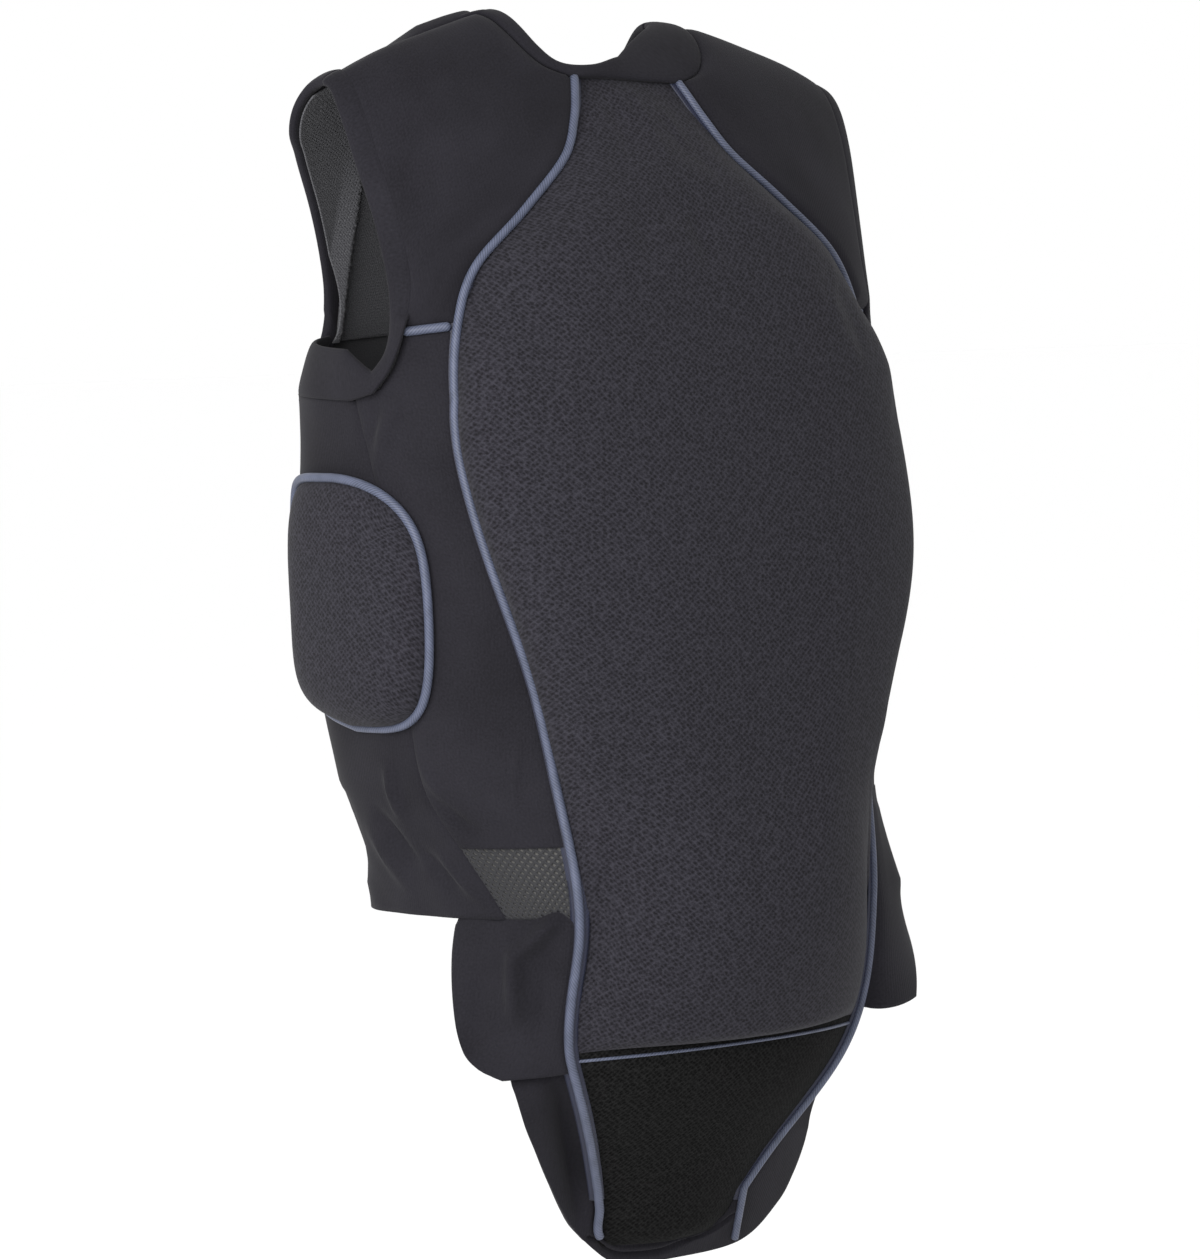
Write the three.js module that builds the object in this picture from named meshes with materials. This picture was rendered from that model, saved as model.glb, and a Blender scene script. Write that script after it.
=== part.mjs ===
// A sleeveless back protector: a padded vest held closed by a front zip, with a long shaped
// back pad that runs from the neck to below the waist and ends in a curved tail.
// Millimetres, +Z up. The wearer faces -Y and the wearer's left is +X.
// The origin is the middle of the shoulder line, where the vest sits on the shoulders.
import * as THREE from 'three';

// The body form. Girth is measured round the body from the centre back, drop is measured
// down from the shoulder line. Above the underarm the form rolls over into the shoulders.
const UNDERARM_DROP = 200;
const BACK_ROLL = 0.5;
const FRONT_ROLL = 0.4;
const SECTION_POWER = 2.35;
const FRONT_SQUARENESS = 1.8;
const SHOULDER_START_X = 62;
const SHOULDER_SLOPE = 0.308;
const SHOULDER_SOFTNESS = 12;
const SHOULDER_TIP_X = 130;
const SHOULDER_TIP_SLOPE = 0.16;
const LEFT_SHOULDER_RAISE = 7.5;
const RAISE_SPREAD = 40;
const RAISE_FADE = 3;
const SECTIONS = [
  { drop: 0, halfWidth: 178, backDepth: 100, frontDepth: 104, shift: 0 },
  { drop: 200, halfWidth: 168, backDepth: 105, frontDepth: 105, shift: 0 },
  { drop: 300, halfWidth: 168, backDepth: 126, frontDepth: 112, shift: 0 },
  { drop: 400, halfWidth: 150, backDepth: 127, frontDepth: 104, shift: -3 },
  { drop: 480, halfWidth: 137, backDepth: 130, frontDepth: 97, shift: 6 },
  { drop: 560, halfWidth: 148, backDepth: 111, frontDepth: 96, shift: -6 },
  { drop: 620, halfWidth: 145, backDepth: 88, frontDepth: 90, shift: -26 },
  { drop: 690, halfWidth: 130, backDepth: 71, frontDepth: 80, shift: -51 },
];

// Outline of the back pad and its tail, as the half girth of the piping line.
const PAD_EDGE = [
  { drop: 34, girth: 35 },
  { drop: 55, girth: 44 },
  { drop: 75, girth: 57 },
  { drop: 97, girth: 86 },
  { drop: 122, girth: 119 },
  { drop: 150, girth: 134 },
  { drop: 200, girth: 145 },
  { drop: 240, girth: 146 },
  { drop: 290, girth: 139 },
  { drop: 360, girth: 117 },
  { drop: 410, girth: 107 },
  { drop: 480, girth: 103 },
  { drop: 525, girth: 103 },
  { drop: 555, girth: 96 },
  { drop: 612, girth: 63 },
  { drop: 640, girth: 49 },
  { drop: 654, girth: 45 },
  { drop: 662, girth: 39 },
];
const PAD_TOP = 34.6;
const CROSS_SEAM = 548;
const TAIL_END = 662;
const PAD_FULL = 24;
const PAD_RIM = 5;
const PAD_END_ROLL = 16;
const TAIL_FULL = 11;
// How far the side of the pad takes to rise, and its power, from 0.5 for a quarter round to 1 for a slope.
const PAD_ROLL = [
  { drop: 34, reach: 64, power: 1 },
  { drop: 105, reach: 66, power: 1 },
  { drop: 150, reach: 48, power: 0.75 },
  { drop: 200, reach: 30, power: 0.5 },
  { drop: 380, reach: 30, power: 0.5 },
  { drop: 430, reach: 62, power: 0.8 },
  { drop: 470, reach: 95, power: 1 },
  { drop: 548, reach: 96, power: 1 },
  { drop: 662, reach: 40, power: 1 },
];
const PAD_ROWS = 34;
const TAIL_ROWS = 12;
const PAD_COLUMNS = 13;

// Piping cord in the channel between the back pad and the panels beside it.
const PIPING_RADIUS = 2.5;
const PIPING_HEIGHT = 3.4;
const PIPING_CHANNEL = 3.4;
const PIPING_SIDES = 6;
const PIPING_TOP = 37;
const PIPING_END = 651;
const PIPING_STEPS = 44;
const YOKE_PIPING_STEPS = 4;

// The armhole edge. The girth of its front side is measured from the centre front.
const ARMHOLE = [
  { drop: 0, back: 174, front: 168 },
  { drop: 15, back: 174, front: 175 },
  { drop: 30, back: 173, front: 170 },
  { drop: 45, back: 172, front: 159 },
  { drop: 85, back: 168, front: 136 },
  { drop: 125, back: 167, front: 121 },
  { drop: 150, back: 170, front: 118 },
  { drop: 168, back: 176, front: 125 },
  { drop: 180, back: 186, front: 151 },
];
const ARMHOLE_BOTTOM = { drop: 184, girth: 203 };
const ARMHOLE_ROUNDING_START = 120;
const ARMHOLE_ROWS = 13;
const ARMHOLE_EXTRA_ROWS = [164, 173];
const BAND_WIDTH = 14;
const BAND_THICKNESS = 6.5;

// The neckline, from the centre back over the shoulder to the centre front.
const NECK_BACK = [
  { edge: 0, edgeDrop: 27, seam: 0, seamDrop: 33.4 },
  { edge: 24, edgeDrop: 27, seam: 22, seamDrop: 33.4 },
  { edge: 42, edgeDrop: 26, seam: 38, seamDrop: 33 },
  { edge: 50, edgeDrop: 18, seam: 54, seamDrop: 25 },
  { edge: 54, edgeDrop: 7, seam: 63, seamDrop: 10 },
  { edge: 56, edgeDrop: 0, seam: 67, seamDrop: 0 },
];
const NECK_FRONT = [
  { edge: 56, edgeDrop: 0, seam: 67, seamDrop: 0 },
  { edge: 52, edgeDrop: 8, seam: 62, seamDrop: 12 },
  { edge: 45, edgeDrop: 28, seam: 54, seamDrop: 35 },
  { edge: 29, edgeDrop: 58, seam: 36, seamDrop: 66 },
  { edge: 8.5, edgeDrop: 74, seam: 8.5, seamDrop: 83 },
];
const NECK_STEPS = 8;
const NECK_FRONT_DROP = 85;
const NECK_CORNER = 33;
const NECK_BAND_THICKNESS = 6;

// The seam between the side panel and the front panel, which ends as a diagonal edge.
const SIDE_SEAM = [
  { drop: 198.5, girth: 203 },
  { drop: 240, girth: 197 },
  { drop: 330, girth: 192 },
  { drop: 405, girth: 183 },
  { drop: 440, girth: 165 },
  { drop: 478, girth: 142 },
];
const YOKE_SEAM = 156;
const MESH_TOP = 438;
const HEM = 476;
const SIDE_ROWS = 13;
const SIDE_COLUMNS = 6;
const MESH_ROWS = 4;
const MESH_COLUMNS = 5;

// The side pad, a rounded patch on the flank.
const SIDE_PAD_GIRTH = 229;
const SIDE_PAD_HALF_WIDTH = 52;
const SIDE_PAD_DROP = 309;
const SIDE_PAD_HALF_HEIGHT = 66;
const SIDE_PAD_ROUNDNESS = 4.5;
const SIDE_PAD_TOP_SLANT = 14;
const SIDE_PAD_BOTTOM_RISE = 5;
const SIDE_PAD_BOTTOM_SLANT = 12;
const SIDE_PAD_FULL = 17.5;
const SIDE_PAD_LOW_FULLNESS = 4.5;
const SIDE_PAD_RIM = 7.5;
const SIDE_PAD_BASE = 4.2;
const SIDE_PAD_ROLL = 22;
const SIDE_PAD_STEPS = 10;
const SIDE_PIPING_HEIGHT = 6.3;
const SIDE_PIPING_JOIN = 0.03;
const SIDE_PIPING_STEPS = 30;

// The hip wings, free flaps beside the low back. The right one stands further off the body, and so does
// the hem above it.
const WING_TOP = 478;
const WING_ROWS = 9;
const WING_COLUMNS = 6;
const WING_FLARE_GROWTH = 0.45;
const WINGS = {
  left: { side: 1, bottom: 559, flare: 8, hemFlare: 0 },
  right: { side: -1, bottom: 540, flare: 28, hemFlare: 16 },
};
const HEM_FLARE_TOP = 432;
const HEM_FLARE_GIRTHS = [103, 150, 190, 260];
const HEM_FLARE_GROWTH = 1.2;
// The front edge of a wing, at shares of its height.
const WING_EDGE = [
  { share: 0, girth: 174 },
  { share: 0.3, girth: 172 },
  { share: 0.6, girth: 164 },
  { share: 0.85, girth: 153 },
  { share: 0.95, girth: 142 },
  { share: 1, girth: 130 },
];

// The flange round the tail, wider at its left where it runs up to the wing.
const FLANGE_EDGE = [
  { drop: 562, left: 125, right: 98 },
  { drop: 584, left: 113, right: 85 },
  { drop: 602, left: 100, right: 83 },
  { drop: 621, left: 86, right: 86 },
  { drop: 639, left: 72, right: 87 },
  { drop: 655, left: 57, right: 82 },
  { drop: 668, left: 34, right: 65 },
  { drop: 676, left: 0, right: 0 },
];
const FLANGE_TOP = 561.5;
const FLANGE_CORNER = 657;
const FLANGE_HEM = 665.5;
const FLANGE_CORNER_SHARE = 0.74;
const FLANGE_HEM_SHARE = 0.5;
const FLANGE_STEPS = 15;
const FLANGE_LIFT = { left: 5, right: 0 };

// Cloth walls and the gaps between neighbouring pieces.
const CLOTH_INSIDE = 0.4;
const YOKE_THICKNESS = 6;
const YOKE_COLUMNS = 8;
const PANEL_THICKNESS = 3;
const MESH_THICKNESS = 1.6;
const LINING_INSIDE = -2.2;
const LINING_OUTSIDE = -0.6;
const LINING_GIRTH = 82;
const LINING_TOP = 4;
const LINING_COLUMNS = 6;
const FRONT_ROWS = 14;
const FRONT_COLUMNS = 8;
const SHOULDER_END_EXTRA = 5;
const SHOULDER_END_DROP = 10;
const SHOULDER_END_GIRTH = 118;
const SHOULDER_END_FADE = 20;
const SEAM_GAP = 0.8;
const NECK_GAP = 1.6;
const SHOULDER_SEAM_DROP = 0.02;
const ZIP_HALF_WIDTH = 7.5;
const ZIP_THICKNESS = 4;
const ZIP_TOP = 76;
const ZIP_STEPS = 18;

// Cubic interpolation of one column of a table by its key, smooth through its rows.
function along(table, column, at, key = 'drop') {
  const last = table.length - 1;
  const here = THREE.MathUtils.clamp(at, table[0][key], table[last][key]);
  let i = 0;
  while (i < last - 1 && table[i + 1][key] < here) i += 1;
  const slope = (k) => {
    const a = table[Math.max(k - 1, 0)];
    const b = table[Math.min(k + 1, last)];
    return (b[column] - a[column]) / (b[key] - a[key]);
  };
  const span = table[i + 1][key] - table[i][key];
  const t = (here - table[i][key]) / span;
  const start = (table[i][column] * (1 + 2 * t) + slope(i) * span * t) * (1 - t) ** 2;
  const end = (table[i + 1][column] * (3 - 2 * t) + slope(i + 1) * span * (t - 1)) * t ** 2;
  return start + end;
}

const blend = (a, b, t) => a + (b - a) * t;
const steps = (count, a, b) => Array.from({ length: count }, (_, i) => blend(a, b, i / (count - 1)));
const padEdge = (drop) => along(PAD_EDGE, 'girth', drop);
// The width of the channel along the girth, wider where the piping runs aslant.
const DROP_PROBE = 0.5;
function channelAcross(drop) {
  const slant = (padEdge(drop + DROP_PROBE) - padEdge(drop - DROP_PROBE)) / (2 * DROP_PROBE);
  return PIPING_CHANNEL * Math.hypot(1, slant);
}
const besidePiping = (drop) => padEdge(drop) + channelAcross(drop);
const sideSeam = (drop) => along(SIDE_SEAM, 'girth', drop);
// A quarter-round rise from 0 at the edge to 1 at the far side of the roll.
const rise = (t) => Math.sqrt(1 - (1 - THREE.MathUtils.clamp(t, 0, 1)) ** 2);

// A point of the symmetric body form. The angle is 0 at the centre back and pi at the centre front.
function formPoint(angle, drop) {
  const isFront = Math.cos(angle) < 0;
  const halfWidth = along(SECTIONS, 'halfWidth', drop);
  const depth = along(SECTIONS, isFront ? 'frontDepth' : 'backDepth', drop);
  const share = THREE.MathUtils.clamp(drop / UNDERARM_DROP, 0, 1);
  const lift = 1 - share;
  const power = SECTION_POWER + (isFront ? FRONT_SQUARENESS * lift : 0);
  const across = Math.abs(Math.sin(angle) / halfWidth) ** power;
  const through = Math.abs(Math.cos(angle) / depth) ** power;
  const radius = (across + through) ** (-1 / power);
  const x = radius * Math.sin(angle);
  const past = (start) => (Math.abs(x) - start + Math.hypot(Math.abs(x) - start, SHOULDER_SOFTNESS)) / 2;
  const fall = SHOULDER_SLOPE * past(SHOULDER_START_X) + SHOULDER_TIP_SLOPE * past(SHOULDER_TIP_X);
  const roll = share ** (isFront ? FRONT_ROLL : BACK_ROLL);
  const y = along(SECTIONS, 'shift', drop) + radius * Math.cos(angle) * roll;
  return new THREE.Vector3(x, y, -drop - fall * lift);
}

// The length round one side of the body form at each angle, kept for each drop.
const ANGLE_STEPS = 240;
const rings = new Map();
function ringAt(drop) {
  if (!rings.has(drop)) {
    const lengths = [0];
    let before = formPoint(0, drop);
    for (let i = 1; i <= ANGLE_STEPS; i += 1) {
      const point = formPoint((Math.PI * i) / ANGLE_STEPS, drop);
      lengths.push(lengths[i - 1] + point.distanceTo(before));
      before = point;
    }
    rings.set(drop, lengths);
  }
  return rings.get(drop);
}
const halfGirth = (drop) => ringAt(drop)[ANGLE_STEPS];

function angleAt(girth, drop) {
  const lengths = ringAt(drop);
  let i = 0;
  while (i < ANGLE_STEPS - 1 && lengths[i + 1] < girth) i += 1;
  const part = (girth - lengths[i]) / (lengths[i + 1] - lengths[i]);
  return (Math.PI * (i + part)) / ANGLE_STEPS;
}

// A point at a height above the body form, on the left (side 1) or the right (side -1).
const ANGLE_PROBE = 0.004;
function place(side, girth, drop, height) {
  const angle = angleAt(girth, drop);
  const isFront = Math.cos(angle) < 0;
  const low = isFront ? Math.PI / 2 + ANGLE_PROBE : -Math.PI / 2;
  const high = isFront ? 2 * Math.PI : Math.PI / 2 - ANGLE_PROBE;
  const before = formPoint(Math.max(angle - ANGLE_PROBE, low), drop);
  const after = formPoint(Math.min(angle + ANGLE_PROBE, high), drop);
  const above = formPoint(angle, Math.max(drop - DROP_PROBE, 0));
  const below = formPoint(angle, drop + DROP_PROBE);
  const normal = after.sub(before).cross(below.sub(above)).normalize();
  const point = formPoint(angle, drop).addScaledVector(normal, height);
  const lift = 1 - THREE.MathUtils.clamp(drop / UNDERARM_DROP, 0, 1);
  const x = side * point.x;
  const raise = (LEFT_SHOULDER_RAISE * x) / (Math.abs(x) + RAISE_SPREAD);
  return new THREE.Vector3(x, point.y, point.z + raise * lift ** RAISE_FADE);
}

// The geometry with its faces turned outwards.
function outward(positions, triangles) {
  const corner = (i) => new THREE.Vector3().fromArray(positions, triangles[i] * 3);
  let volume = 0;
  for (let i = 0; i < triangles.length; i += 3) {
    volume += corner(i).dot(corner(i + 1).cross(corner(i + 2)));
  }
  if (volume < 0) triangles.reverse();
  const geometry = new THREE.BufferGeometry();
  geometry.setAttribute('position', new THREE.Float32BufferAttribute(positions, 3));
  geometry.setIndex(triangles);
  geometry.computeVertexNormals();
  return geometry;
}

// A closed wall between an inner and an outer grid of points.
function wall(rowCount, columnCount, pointAt) {
  const positions = [];
  for (const isOuter of [false, true]) {
    for (let row = 0; row < rowCount; row += 1) {
      for (let column = 0; column < columnCount; column += 1) {
        positions.push(...pointAt(row, column, isOuter).toArray());
      }
    }
  }
  const inner = (row, column) => row * columnCount + column;
  const outer = (row, column) => inner(rowCount + row, column);
  const triangles = [];
  const quad = (a, b, c, d) => triangles.push(a, b, c, a, c, d);
  const lastRow = rowCount - 1;
  const lastColumn = columnCount - 1;
  for (let row = 0; row < lastRow; row += 1) {
    const next = row + 1;
    for (let column = 0; column < lastColumn; column += 1) {
      const beside = column + 1;
      quad(outer(row, column), outer(next, column), outer(next, beside), outer(row, beside));
      quad(inner(row, column), inner(row, beside), inner(next, beside), inner(next, column));
    }
    quad(inner(row, 0), inner(next, 0), outer(next, 0), outer(row, 0));
    const end = lastColumn;
    quad(inner(row, end), outer(row, end), outer(next, end), inner(next, end));
  }
  for (let column = 0; column < lastColumn; column += 1) {
    const beside = column + 1;
    quad(inner(0, column), outer(0, column), outer(0, beside), inner(0, beside));
    const end = lastRow;
    quad(inner(end, column), inner(end, beside), outer(end, beside), outer(end, column));
  }
  return outward(positions, triangles);
}

// A closed strip round a loop of stations, each station a four-cornered section.
function loopStrip(stations) {
  const corners = stations[0].length;
  const positions = stations.flatMap((section) => section.flatMap((point) => point.toArray()));
  const triangles = [];
  stations.forEach((_, i) => {
    const here = i * corners;
    const next = ((i + 1) % stations.length) * corners;
    for (let k = 0; k < corners; k += 1) {
      const l = (k + 1) % corners;
      triangles.push(here + k, next + k, next + l, here + k, next + l, here + l);
    }
  });
  return outward(positions, triangles);
}

// A round cord along a row of points.
function cord(points, stepCount) {
  const ring = [];
  for (let i = 0; i < PIPING_SIDES; i += 1) {
    const angle = (2 * Math.PI * i) / PIPING_SIDES;
    ring.push(new THREE.Vector2(PIPING_RADIUS * Math.cos(angle), PIPING_RADIUS * Math.sin(angle)));
  }
  const path = new THREE.CatmullRomCurve3(points);
  const sweep = { steps: stepCount, extrudePath: path, bevelEnabled: false };
  return new THREE.ExtrudeGeometry(new THREE.Shape(ring), sweep);
}

// A panel of cloth on one side, whose rows run from one edge line to another.
function panel(side, drops, columnCount, from, to, heights) {
  return wall(drops.length, columnCount, (row, column, isOuter) => {
    const drop = drops[row];
    const part = column / (columnCount - 1);
    const girth = blend(from(drop), to(drop), part);
    const [inner, outer] = heights(drop, part, girth);
    return place(side, girth, drop, isOuter ? outer : inner);
  });
}
const cloth = (thickness) => () => [CLOTH_INSIDE, thickness];

// Drops whose rows lie evenly over the roll of the shoulder.
function rollRows(count, bottom, roll) {
  return steps(count, 0, 1).map((t) => bottom * t ** (1 / roll));
}

// The rows with one more halfway between each pair.
const halved = (rows) => rows.flatMap((drop, i) => (i === 0 ? [drop] : [(rows[i - 1] + drop) / 2, drop]));

const softshell = new THREE.MeshStandardMaterial({ color: 0x2f2e33, roughness: 0.8, metalness: 0 });
const spacerKnit = new THREE.MeshStandardMaterial({ color: 0x38373d, roughness: 0.9, metalness: 0 });
const darkKnit = new THREE.MeshStandardMaterial({ color: 0x222223, roughness: 0.9, metalness: 0 });
const pipingCloth = new THREE.MeshStandardMaterial({ color: 0x6f768c, roughness: 0.5, metalness: 0 });
const openMesh = new THREE.MeshStandardMaterial({ color: 0x464649, roughness: 0.9, metalness: 0 });
const zipTape = new THREE.MeshStandardMaterial({ color: 0x1c1c1e, roughness: 0.6, metalness: 0 });

const protector = new THREE.Group();
function add(name, geometry, material) {
  const mesh = new THREE.Mesh(geometry, material);
  mesh.name = name;
  protector.add(mesh);
}

// Back pad and tail pad: thick padded panels with a rolled rim, divided by the cross seam.
function pad(top, bottom, rowCount, full) {
  return wall(rowCount, PAD_COLUMNS, (row, column, isOuter) => {
    const drop = blend(top, bottom, (1 - Math.cos((Math.PI * row) / (rowCount - 1))) / 2);
    const reach = padEdge(drop) - channelAcross(drop);
    const across = Math.sin(Math.PI * (column / (PAD_COLUMNS - 1) - 0.5));
    const toSide = (reach * (1 - Math.abs(across))) / along(PAD_ROLL, 'reach', drop);
    const sideRise = (1 - (1 - Math.min(toSide, 1)) ** 2) ** along(PAD_ROLL, 'power', drop);
    const endRise = rise(Math.min(drop - top, bottom - drop) / PAD_END_ROLL);
    const height = isOuter ? blend(PAD_RIM, full, sideRise * endRise) : CLOTH_INSIDE;
    return place(Math.sign(across) || 1, Math.abs(across) * reach, drop, height);
  });
}
add('back_pad', pad(PAD_TOP, CROSS_SEAM - SEAM_GAP, PAD_ROWS, PAD_FULL), spacerKnit);
add('tail_pad', pad(CROSS_SEAM + SEAM_GAP, TAIL_END, TAIL_ROWS, TAIL_FULL), darkKnit);

// The line at a distance outside the armhole edge, from the shoulder down to the lowest point.
function armholeLine(face, distance) {
  const roll = face === 'front' ? FRONT_ROLL : BACK_ROLL;
  const lowestRow = ARMHOLE[ARMHOLE.length - 1].drop;
  const drops = [...rollRows(ARMHOLE_ROWS, lowestRow, roll), ...ARMHOLE_EXTRA_ROWS];
  drops.sort((a, b) => a - b);
  const line = drops.map((drop) => {
    const t = THREE.MathUtils.smoothstep(drop, ARMHOLE_ROUNDING_START, ARMHOLE_BOTTOM.drop);
    return { girth: along(ARMHOLE, face, drop) - distance * (1 - t), drop: drop + distance * t };
  });
  const lowest = ARMHOLE_BOTTOM.drop + distance;
  const across = ARMHOLE_BOTTOM.girth;
  line.push({ girth: face === 'front' ? halfGirth(lowest) - across : across, drop: lowest });
  return line;
}
// The girth from the centre back of a point on a line of the back or the front.
const fromBack = (face, { girth, drop }) => (face === 'front' ? halfGirth(drop) - girth : girth);
const panelBesideBack = armholeLine('back', BAND_WIDTH + SEAM_GAP);
const panelBesideFront = armholeLine('front', BAND_WIDTH + SEAM_GAP);
const underarm = panelBesideBack[panelBesideBack.length - 1].drop;

// Straight interpolation of girth by drop, for an edge that follows its neighbour's facets.
function girthOn(line, drop) {
  let i = 0;
  while (i < line.length - 2 && line[i + 1].drop < drop) i += 1;
  const [a, b] = [line[i], line[i + 1]];
  return blend(a.girth, b.girth, THREE.MathUtils.clamp((drop - a.drop) / (b.drop - a.drop), 0, 1));
}

// A smooth line through one pair of columns of the neckline, even over the shoulder roll.
function neckLine(table, girthColumn, dropColumn, roll) {
  const points = table.map((row) => {
    const share = row[dropColumn] / UNDERARM_DROP;
    return new THREE.Vector2(row[girthColumn], share ** roll);
  });
  return new THREE.SplineCurve(points).getPoints(NECK_STEPS).map((point) => ({
    girth: point.x,
    drop: UNDERARM_DROP * Math.max(point.y, 0) ** (1 / roll),
  }));
}
const neckBackSeam = neckLine(NECK_BACK, 'seam', 'seamDrop', BACK_ROLL);
const neckFrontSeam = neckLine(NECK_FRONT, 'seam', 'seamDrop', FRONT_ROLL);
const besideNeckBack = (drop) => girthOn([...neckBackSeam].reverse(), drop) + NECK_GAP;
const besideNeckFront = (drop) => girthOn(neckFrontSeam, drop) + NECK_GAP;

// Neck band: one bound strip from the zip over the shoulders and round the back of the neck.
const neckStations = [];
for (const side of [1, -1]) {
  const backEdge = neckLine(NECK_BACK, 'edge', 'edgeDrop', BACK_ROLL);
  const frontEdge = neckLine(NECK_FRONT, 'edge', 'edgeDrop', FRONT_ROLL);
  const half = backEdge.map((edge, i) => ({ side, edge, seam: neckBackSeam[i] }));
  frontEdge.slice(1).forEach((edge, i) => {
    const seam = neckFrontSeam[i + 1];
    half.push({
      side,
      edge: { girth: fromBack('front', edge), drop: edge.drop },
      seam: { girth: fromBack('front', seam), drop: seam.drop },
    });
  });
  neckStations.push(...(side === 1 ? half.reverse() : half.slice(1)));
}
add('neck_band', wall(neckStations.length, 2, (row, column, isOuter) => {
  const { side, edge, seam } = neckStations[row];
  const { girth, drop } = column === 0 ? edge : seam;
  return place(side, girth, drop, isOuter ? NECK_BAND_THICKNESS : CLOTH_INSIDE);
}), softshell);

// Front zip: one closed plain strip down the centre front.
add('front_zip', wall(ZIP_STEPS + 1, 3, (row, column, isOuter) => {
  const drop = blend(ZIP_TOP, HEM, row / ZIP_STEPS);
  const girth = halfGirth(drop) - Math.abs(column - 1) * ZIP_HALF_WIDTH;
  return place(column === 2 ? -1 : 1, girth, drop, isOuter ? ZIP_THICKNESS : CLOTH_INSIDE);
}), zipTape);

// Tail flange: a flat border round the tail, from one hip wing to the other.
const flangeStations = [];
for (const [name, { side }] of Object.entries(WINGS)) {
  const edgeRows = FLANGE_EDGE.map((row) => new THREE.Vector2(row[name], row.drop));
  const edgeLine = new THREE.SplineCurve(edgeRows);
  const half = steps(FLANGE_STEPS, 0, 1).map((t) => {
    const outer = edgeLine.getPoint(t);
    const down = Math.min(t / FLANGE_CORNER_SHARE, 1);
    const across = Math.max((t - FLANGE_CORNER_SHARE) / (1 - FLANGE_CORNER_SHARE), 0);
    const drop = blend(blend(FLANGE_TOP, FLANGE_CORNER, down), FLANGE_HEM, rise(across / FLANGE_HEM_SHARE));
    const girth = blend(besidePiping(drop), 0, across);
    const edge = { girth: outer.x, drop: outer.y };
    return { side, lift: FLANGE_LIFT[name] * (1 - t), inner: { girth, drop }, outer: edge };
  });
  flangeStations.push(...(side === 1 ? half : half.reverse().slice(1)));
}
add('tail_flange', wall(flangeStations.length, 3, (row, column, isOuter) => {
  const { side, lift, inner, outer } = flangeStations[row];
  const part = column / 2;
  const height = lift * part * part + (isOuter ? PANEL_THICKNESS : CLOTH_INSIDE);
  const girth = blend(inner.girth, outer.girth, part);
  return place(side, girth, blend(inner.drop, outer.drop, part), height);
}), softshell);

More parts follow.
